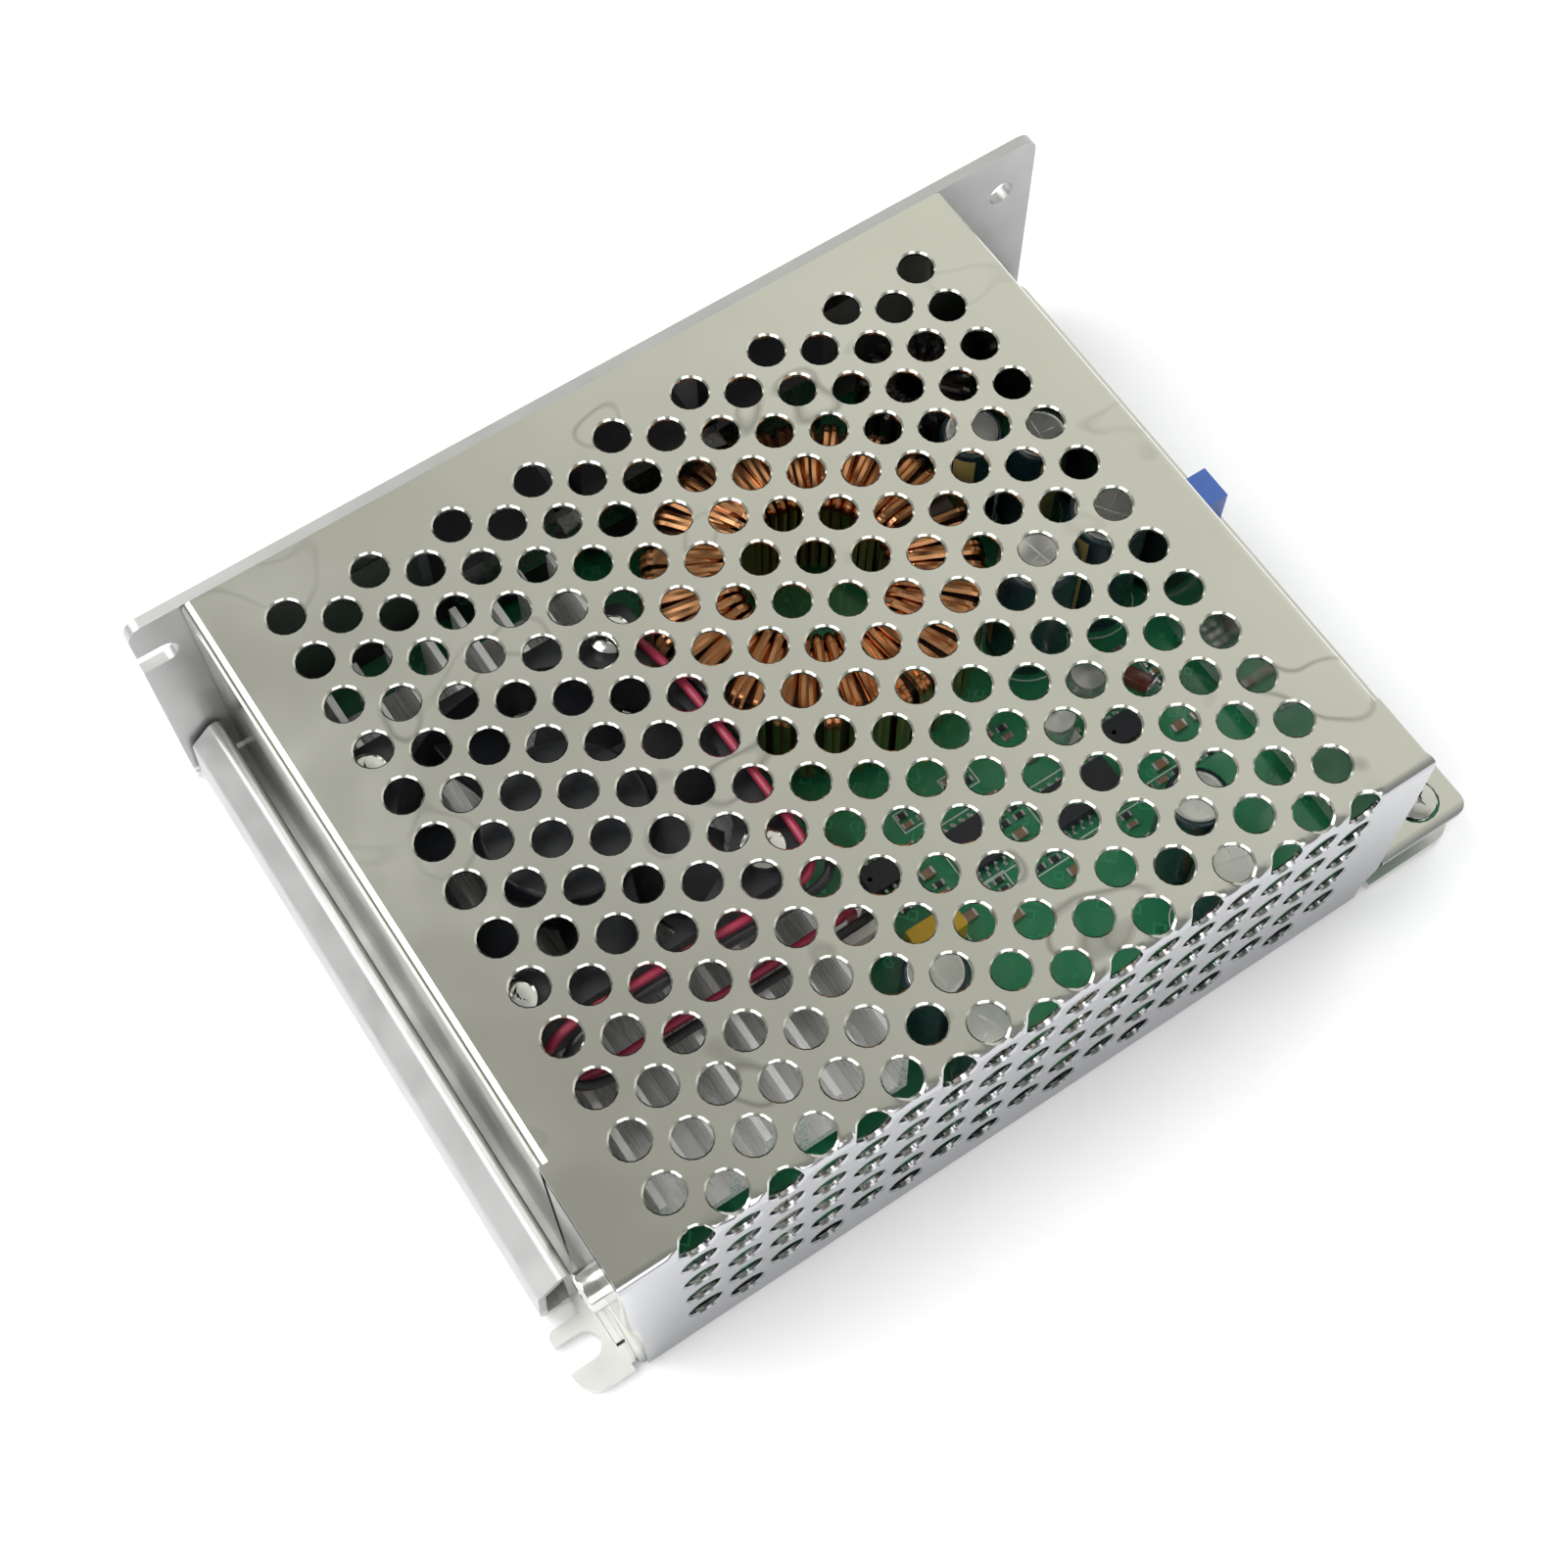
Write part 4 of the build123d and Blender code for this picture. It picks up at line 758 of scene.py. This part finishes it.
def cuboid(low, high, edge=0.15):
    """Box with a rounded edge of two segments."""
    shape = bmesh.new()
    size = [h - l for l, h in zip(low, high)]
    middle = [(l + h) / 2 for l, h in zip(low, high)]
    bmesh.ops.create_cube(shape, size=1.0, matrix=Matrix.Translation(middle) @ Matrix.Diagonal((*size, 1)))
    if edge:
        bmesh.ops.bevel(shape, geom=shape.edges, offset=edge, offset_type="OFFSET", segments=2, profile=0.5,
                        affect="EDGES", material=-1)
    shape.verts.index_update()
    part = [v.co.copy() for v in shape.verts], [tuple(v.index for v in f.verts) for f in shape.faces]
    shape.free()
    return part


plug = cuboid((-12.0, -23.5, 7.4), (-7.0, -19.7, 15.0), 0.25)
piece("wire_plug", [plug], "white_nylon", ["fan_plug"])
HEADER_TOP = 12.2
walls = [((-12.7, -24.2), (-6.3, -23.6)), ((-12.7, -19.6), (-6.3, -19.0)),
         ((-12.7, -24.2), (-12.1, -19.0)), ((-6.9, -24.2), (-6.3, -19.0))]
parts = [cuboid((*low, BOARD_TOP), (*high, HEADER_TOP), 0.1) for low, high in walls]
parts.append(cuboid((-12.4, -23.9, BOARD_TOP), (-6.6, -19.3, 7.38), 0.1))
piece("wire_header", parts, "white_nylon", ["fan_header"])

# Ring inductor: a painted powder core wound with thick enamelled copper wire, whose every second turn
# climbs over its neighbours where the bore gets narrow. It lies flat on the board.
# enamelled copper: light orange with strong highlights along each turn
grained("enamelled_copper", "#e2a87a", "#c98e60", 8.0, 0.004, (0.16, 0.24), Metallic=1.0)
# core paint: a matt, very dark brown between the turns
grained("core_paint", "#33281c", "#2a2119", 1.0, 0.02, (0.4, 0.55))
TURNS = 84
TURN_RADIUS = 0.66
TURN_CORNER, CORNER_STEPS = 1.7, 3
OUTER_REACH = 20.9
WOUND_ANGLE = 352
TUBE_SIDES = 8
RING_CENTRE = (10.4, 17.2, BOARD_TOP + 9.4)


def ring_core(profile, steps, at):
    """Ring whose section closes on itself, so it has no end faces."""
    points, faces = turned(profile, steps, at)
    return points, faces[:-2]


core = [(12.1, -7.25), (19.7, -7.25), (20.1, -6.85), (20.1, 6.85), (19.7, 7.25), (12.1, 7.25), (11.95, 6.9),
        (11.95, -6.9), (12.1, -7.25)]
piece("powder_core", [ring_core(core, 72, RING_CENTRE)], "core_paint", ["toroid_core"])


def tube(path, radius):
    """Round tube along a closed loop of points."""
    points, faces = [], []
    count = len(path)
    for i in range(count):
        way = (path[(i + 1) % count] - path[i - 1]).normalized()
        normal = (normal - way * normal.dot(way)).normalized() if i else way.orthogonal().normalized()
        other = way.cross(normal)
        for k in range(TUBE_SIDES):
            angle = tau * k / TUBE_SIDES
            points.append(path[i] + (normal * cos(angle) + other * sin(angle)) * radius)
    for i in range(count):
        j = (i + 1) % count
        for k in range(TUBE_SIDES):
            m = (k + 1) % TUBE_SIDES
            faces.append((i * TUBE_SIDES + k, i * TUBE_SIDES + m, j * TUBE_SIDES + m, j * TUBE_SIDES + k))
    return points, faces


def turn_path(inner, inner_height, outer_height, lean):
    """Closed loop of one turn round the core's section, which leans over on its way out."""
    ring = rounded([(inner, -inner_height), (OUTER_REACH, -outer_height), (OUTER_REACH, outer_height),
                    (inner, inner_height)], TURN_CORNER, CORNER_STEPS)
    return [Vector((x, lean * (x - inner) / (OUTER_REACH - inner), z)) for x, z in ring]


climbing, lying = turn_path(9.4, 8.62, 8.0, 0.9), turn_path(11.1, 7.98, 7.98, 0.4)
parts = []
for number in range(TURNS):
    turn = tube(climbing if number % 2 else lying, TURN_RADIUS)
    parts.append(moved(turn, RING_CENTRE, spun(0, 0, WOUND_ANGLE / TURNS * number)))
piece("copper_turns", parts, "enamelled_copper", ["toroid_winding"])

# Filter choke: a smaller pressed ferrite ring, wound with dark varnished wire and lying on the board
# beside the terminals.
# varnish: near black with a sharp, wet looking highlight
grained("dark_varnish", "#2a2422", "#16120f", 1.5, 0.01, (0.12, 0.25), Coat_Weight=0.5)
# ferrite: a matt charcoal
grained("dark_ferrite", "#1c1c1e", "#252528", 1.0, 0.02, (0.5, 0.65))
CHOKE = (39.5, 36.5, BOARD_TOP + 5.5)
CHOKE_TURNS = 20
ring = rounded(oblong(2.75, -4.7, 7.2, 4.7), 1.0, CORNER_STEPS)
path = [Vector((x, 0.05 * x, z)) for x, z in ring]
parts = []
for number in range(CHOKE_TURNS):
    turn = tube(path, 0.72 if number % 2 else 0.62)
    parts.append(moved(turn, CHOKE, spun(0, 0, 360 / CHOKE_TURNS * number + 3)))
piece("choke_turns", parts, "dark_varnish", ["filter_choke"])
core = ring_core([(3.4, -4.0), (6.5, -4.0), (6.5, 4.0), (3.4, 4.0), (3.4, -4.0)], 40, CHOKE)
piece("choke_core", [core], "dark_ferrite")

# Upright capacitors: drawn aluminium cans, crimped above a rubber seal, in a shrunk dark sleeve with
# a pale stripe. Their tops are scored with a cross, and they stand on their leads in the board.
# shrink sleeve: a glossy blue black
tree, shader = look("shrink_sleeve", "#12262b", Roughness=0.3, Coat_Weight=0.4)
gloss = between(tree, noise(tree, 3.0), 0.35, 0.65, 0.26, 0.38)
tree.links.new(gloss, shader.inputs["Roughness"])
tree.links.new(blended(tree, noise(tree, 6.0), "#10222a", "#182e33"), shader.inputs["Base Color"])
bumped(tree, shader, noise(tree, 1.2), 0.01)
# stripe: dull gold print on the sleeve
grained("sleeve_stripe", "#b8a564", "#a8955a", 2.0, 0.005, (0.35, 0.45))
# can aluminium: a bright, soft white metal
grained("can_aluminium", "#ecece8", "#dededa", 5.0, 0.008, (0.22, 0.32), Metallic=0.8)
CANS = [(-7.6, -34.4, 4.0, 19.0), (-5.8, -43.0, 4.0, 19.0), (30.2, -33.6, 4.0, 19.0), (28.6, -42.2, 4.0, 19.0),
        (32.6, 1.3, 5.0, 22.5), (43.2, 1.6, 5.0, 22.5), (37.4, 21.8, 4.0, 19.0), (44.2, 16.8, 4.0, 19.0)]
STRIPE_STEPS, STRIPE_ANGLE, STRIPE_LIFT = 6, 40, 0.02
sleeves, tops, stripes = [], [], []
for number, (x, y, radius, height) in enumerate(CANS):
    at = (x, y, BOARD_TOP)
    crimped = [(radius - 0.5, 0.0), (radius - 0.1, 0.25), (radius, 0.6), (radius, 1.4), (radius - 0.25, 1.9),
               (radius, 2.4), (radius, height - 0.9), (radius - 0.15, height - 0.35),
               (radius - 0.45, height - 0.08), (radius - 0.65, height - 0.04), (radius - 0.7, height - 0.3)]
    points, faces = turned(crimped, 36, at)
    sleeves.append((points, faces[:-1]))
    tops.append(turned([(radius - 0.72, height - 0.6), (radius - 0.72, height - 0.14), (radius - 0.9, height - 0.08),
                        (radius - 1.2, height - 0.16), (0.01, height - 0.16)], 32, at))
    score = cuboid((-radius * 0.5, -0.06, height - 0.18), (radius * 0.5, 0.06, height - 0.12), 0.02)
    tops += [moved(score, at, spun(0, 0, angle + 25 * number)) for angle in (0, 90)]
    band = []
    for level in (2.6, height - 1.1):
        for i in range(STRIPE_STEPS + 1):
            angle = radians(37 * number + STRIPE_ANGLE * (i / STRIPE_STEPS - 0.5))
            reach = radius + STRIPE_LIFT
            band.append((x + reach * cos(angle), y + reach * sin(angle), BOARD_TOP + level))
    upper = STRIPE_STEPS + 1
    stripes.append((band, [(i, i + 1, upper + i + 1, upper + i) for i in range(STRIPE_STEPS)]))
piece("capacitor_sleeves", sleeves, "shrink_sleeve",
      ["input_capacitors", "output_capacitors", "filter_capacitors"])
piece("capacitor_tops", tops, "can_aluminium")
piece("capacitor_stripes", stripes, "sleeve_stripe")
parts = []
for x, y in ((34.8, -8.7), (27.9, -11.4)):
    parts.append(turned([(2.5, 0.3), (2.5, 4.9), (2.3, 5.3), (0.01, 5.4)], 28, (x, y, BOARD_TOP)))
    parts.append(cuboid((x - 2.6, y - 2.6, BOARD_TOP), (x + 2.6, y + 2.6, BOARD_TOP + 0.5), 0.1))
piece("small_can_shells", parts, "can_aluminium", ["small_cans"])

# Chips and small parts: moulded epoxy bodies with formed, tinned leads, and fired ceramic or moulded
# blocks with tinned ends, all soldered flat on the board.
# solder tin: pale grey metal, bright in spots
grained("solder_tin", "#d4d5d6", "#bdbec0", 0.5, 0.01, (0.22, 0.4), Metallic=1.0)
# fired ceramic: a matt tan, some parts browner
grained("fired_ceramic", "#a58768", "#7d644c", 3.0, 0.01, (0.4, 0.55))
CHIPS = ((25.2, -20.4, 10.4, 7.6, 2.3, 8), (10.6, -18.6, 6.0, 8.4, 1.7, 6),
         (-1.4, -15.5, 5.0, 6.0, 1.6, 4), (35.4, -16.0, 5.0, 6.0, 1.6, 4))
LEAD_STEP, LEAD_HALF, LEAD_SHEET = 1.27, 0.2, 0.2


def chip_lead(x, y, side, body_width, width):
    """Lead from the body's side, down and out along the board: three short strips."""
    root, toe = y + side * (body_width / 2 - 0.1), y + side * width / 2
    knee = y + side * (body_width / 2 + 0.45)
    strips = ((min(root, knee), max(root, knee), 0.9, 1.1), (knee - 0.1, knee + 0.1, 0.02, 1.1),
              (min(knee, toe), max(knee, toe), 0.02, LEAD_SHEET))
    return [cuboid((x - LEAD_HALF, near, BOARD_TOP + low), (x + LEAD_HALF, far, BOARD_TOP + high), 0.04)
            for near, far, low, high in strips]


bodies, leads = [], []
for x, y, length, width, height, count in CHIPS:
    body_width = width - 2.2
    bodies.append(cuboid((x - length / 2, y - body_width / 2, BOARD_TOP + 0.15),
                         (x + length / 2, y + body_width / 2, BOARD_TOP + height), 0.15))
    dot = (x - length / 2 + 0.9, y, BOARD_TOP)
    bodies.append(turned([(0.35, height - 0.02), (0.3, height)], 12, dot))
    for i in range(count):
        for side in (-1, 1):
            leads += chip_lead(x + (i - (count - 1) / 2) * LEAD_STEP, y, side, body_width, width)
piece("chip_bodies", bodies, "moulded_epoxy", ["control_chips", "driver_chips"])
piece("chip_leads", leads, "solder_tin")
CERAMICS = ((41.6, -19.4), (44.6, -19.4), (9.5, -28.9), (4.7, -25.8), (20.4, -7.0), (16.2, -14.4),
            (16.2, -20.4), (3.6, -18.4), (19.0, -28.0), (36.4, -22.4), (23.6, -12.6))
# groups of smaller parts: place of the first one, columns and rows
GROUPS = ((5.4, -11.6, 2, 2), (15.4, -18.2, 2, 2), (3.9, -15.4, 1, 2), (4.0, -21.6, 1, 2), (15.6, -25.4, 3, 2),
          (8.2, -26.6, 2, 3), (-3.4, -20.6, 2, 2), (20.6, -28.4, 1, 2), (33.2, -25.6, 3, 2), (40.4, -24.4, 2, 2),
          (44.0, -14.2, 1, 4), (39.6, -6.4, 2, 1), (22.8, -8.6, 1, 2), (12.8, -10.8, 2, 2), (30.2, -14.2, 1, 2),
          (28.6, -27.0, 1, 2))
GROUP_STEP_X, GROUP_STEP_Y = 2.2, 1.35


def flat_block(x, y, half_x, half_y, low, high, edge):
    """Small block on the board, centred on its place."""
    return cuboid((x - half_x, y - half_y, BOARD_TOP + low), (x + half_x, y + half_y, BOARD_TOP + high), edge)


bodies, black, ends = [], [], []
for x, y in CERAMICS:
    bodies.append(flat_block(x, y, 0.7, 0.6, 0.02, 0.74, 0.05))
    ends += [flat_block(x + side * 0.82, y, 0.18, 0.62, 0.0, 0.8, 0.08) for side in (-1, 1)]
for number, (first_x, first_y, columns, rows) in enumerate(GROUPS):
    for place in range(columns * rows):
        x, y = first_x + GROUP_STEP_X * (place % columns), first_y + GROUP_STEP_Y * (place // columns)
        (black if (number + place) % 3 else bodies).append(flat_block(x, y, 0.5, 0.36, 0.02, 0.42, 0))
        ends += [flat_block(x + side * 0.62, y, 0.16, 0.4, 0.0, 0.46, 0) for side in (-1, 1)]
piece("small_part_bodies", bodies, "fired_ceramic", ["chip_passives"])
piece("small_resistors", black, "moulded_epoxy")
DIODE, diode_turn = (40.8, -11.4, BOARD_TOP), spun(0, 0, 25)
for low, high in ((-2.5, -1.9), (1.9, 2.5)):
    ends.append(moved(cuboid((-1.15, low, 0.0), (1.15, high, 2.4), 0.2), DIODE, diode_turn))
piece("soldered_ends", ends, "solder_tin")

# Printed outlines: one thin coat of pale ink, screened on the board round its parts.
# screen ink: off white and matt
grained("screen_ink", "#dde4dd", "#cfd8d0", 2.0, 0.002, (0.5, 0.6))
INK_LOW, INK_HIGH = BOARD_TOP + 0.005, BOARD_TOP + 0.03
INK_WIDTH = 0.18
OUTLINES = ((19.2, -25.0, 31.2, -15.8), (6.8, -23.4, 14.4, -13.8), (-4.6, -19.2, 1.8, -11.9),
            (32.2, -19.7, 38.6, -12.3), (4.5, -12.4, 9.0, -9.4), (14.5, -26.2, 21.4, -23.2),
            (32.2, -26.5, 39.2, -23.4), (43.0, -15.1, 45.1, -9.2), (7.2, -27.5, 11.8, -23.0),
            (-5.2, -28.8, 3.2, -24.0), (11.9, -11.7, 16.4, -8.6))
ink = []
for x, y, radius, height in CANS:
    ink.append(slab(circle(x, y, radius + 0.75, 28), INK_LOW, INK_HIGH, [circle(x, y, radius + 0.55, 28)]))
for low_x, low_y, high_x, high_y in OUTLINES:
    hole = oblong(low_x + INK_WIDTH, low_y + INK_WIDTH, high_x - INK_WIDTH, high_y - INK_WIDTH)
    ink.append(slab(oblong(low_x, low_y, high_x, high_y), INK_LOW, INK_HIGH, [hole]))
piece("printed_outlines", ink, "screen_ink")

# Diode and film capacitor: a body glazed brown between its soldered ends, and a moulded box, both
# soldered to the board.
# glaze: a deep red brown with a wet shine
grained("brown_glaze", "#5e2b22", "#6e352a", 1.5, 0.01, (0.18, 0.3), Coat_Weight=0.4)
diode = cuboid((-1.05, -2.0, 0.1), (1.05, 2.0, 2.3), 0.35)
piece("diode_body", [moved(diode, DIODE, diode_turn)], "brown_glaze", ["small_diode"])
# film capacitor's box: warm yellow with a soft shine
grained("yellow_film", "#d8b22c", "#c9a224", 1.5, 0.01, (0.3, 0.45))
film_box = cuboid((-4.6, -28.2, BOARD_TOP), (2.6, -24.6, 12.6), 0.45)
piece("film_box", [film_box], "yellow_film", ["film_capacitor"])

# Terminals: folded tinned brackets, soldered to the board, that carry screws with a slotted cross
# head on square washers.
TERMINAL_X, WASHER_TOP, WASHER_HALF = 57.5, 13.4, 3.8
terminal_head = recessed_head(3.4, 2.2, 2.3, 1.3)
parts = []
for y in TERMINALS:
    for part in (terminal_head, shank(6.2, 1.95, 16)):
        parts.append(moved(part, (TERMINAL_X, y, WASHER_TOP), spun(0, 0, y)))
    parts.append(cuboid((TERMINAL_X - WASHER_HALF, y - WASHER_HALF, 12.6),
                        (TERMINAL_X + WASHER_HALF, y + WASHER_HALF, WASHER_TOP), 0.12))
piece("terminal_heads", parts, "bright_plate", ["terminal_screws"])
CARRIED["terminal_cages"] = "zinc_plate"

# Trimmer: moulded case soldered upright on the board, with a brass screw in its well.
# polyamide: a plain mid blue with a soft shine
grained("blue_polyamide", "#3f66b0", "#385ba0", 1.0, 0.01, (0.32, 0.45))
CARRIED["trimmer_body"] = "blue_polyamide"
TRIMMER_X, TRIMMER_Y = 54.8, 2.5
screw = turned([(1.1, 0.0), (1.1, 3.8), (1.0, 3.9), (0.01, 3.9)], 28)
parts = [moved(screw, (TRIMMER_X, TRIMMER_Y, 14.0))]
for low, high in ((-0.8, -0.28), (0.28, 0.8)):
    parts.append(cuboid((TRIMMER_X - 0.72, TRIMMER_Y + low, 17.8), (TRIMMER_X + 0.72, TRIMMER_Y + high, 18.4), 0.06))
piece("trimmer_adjuster", parts, "turned_brass", ["trimmer_screw"], "adjuster")

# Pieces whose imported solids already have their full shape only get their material.
for name, skin in CARRIED.items():
    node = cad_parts[name]
    node.data.materials.clear()
    node.data.materials.append(SKIN[skin])
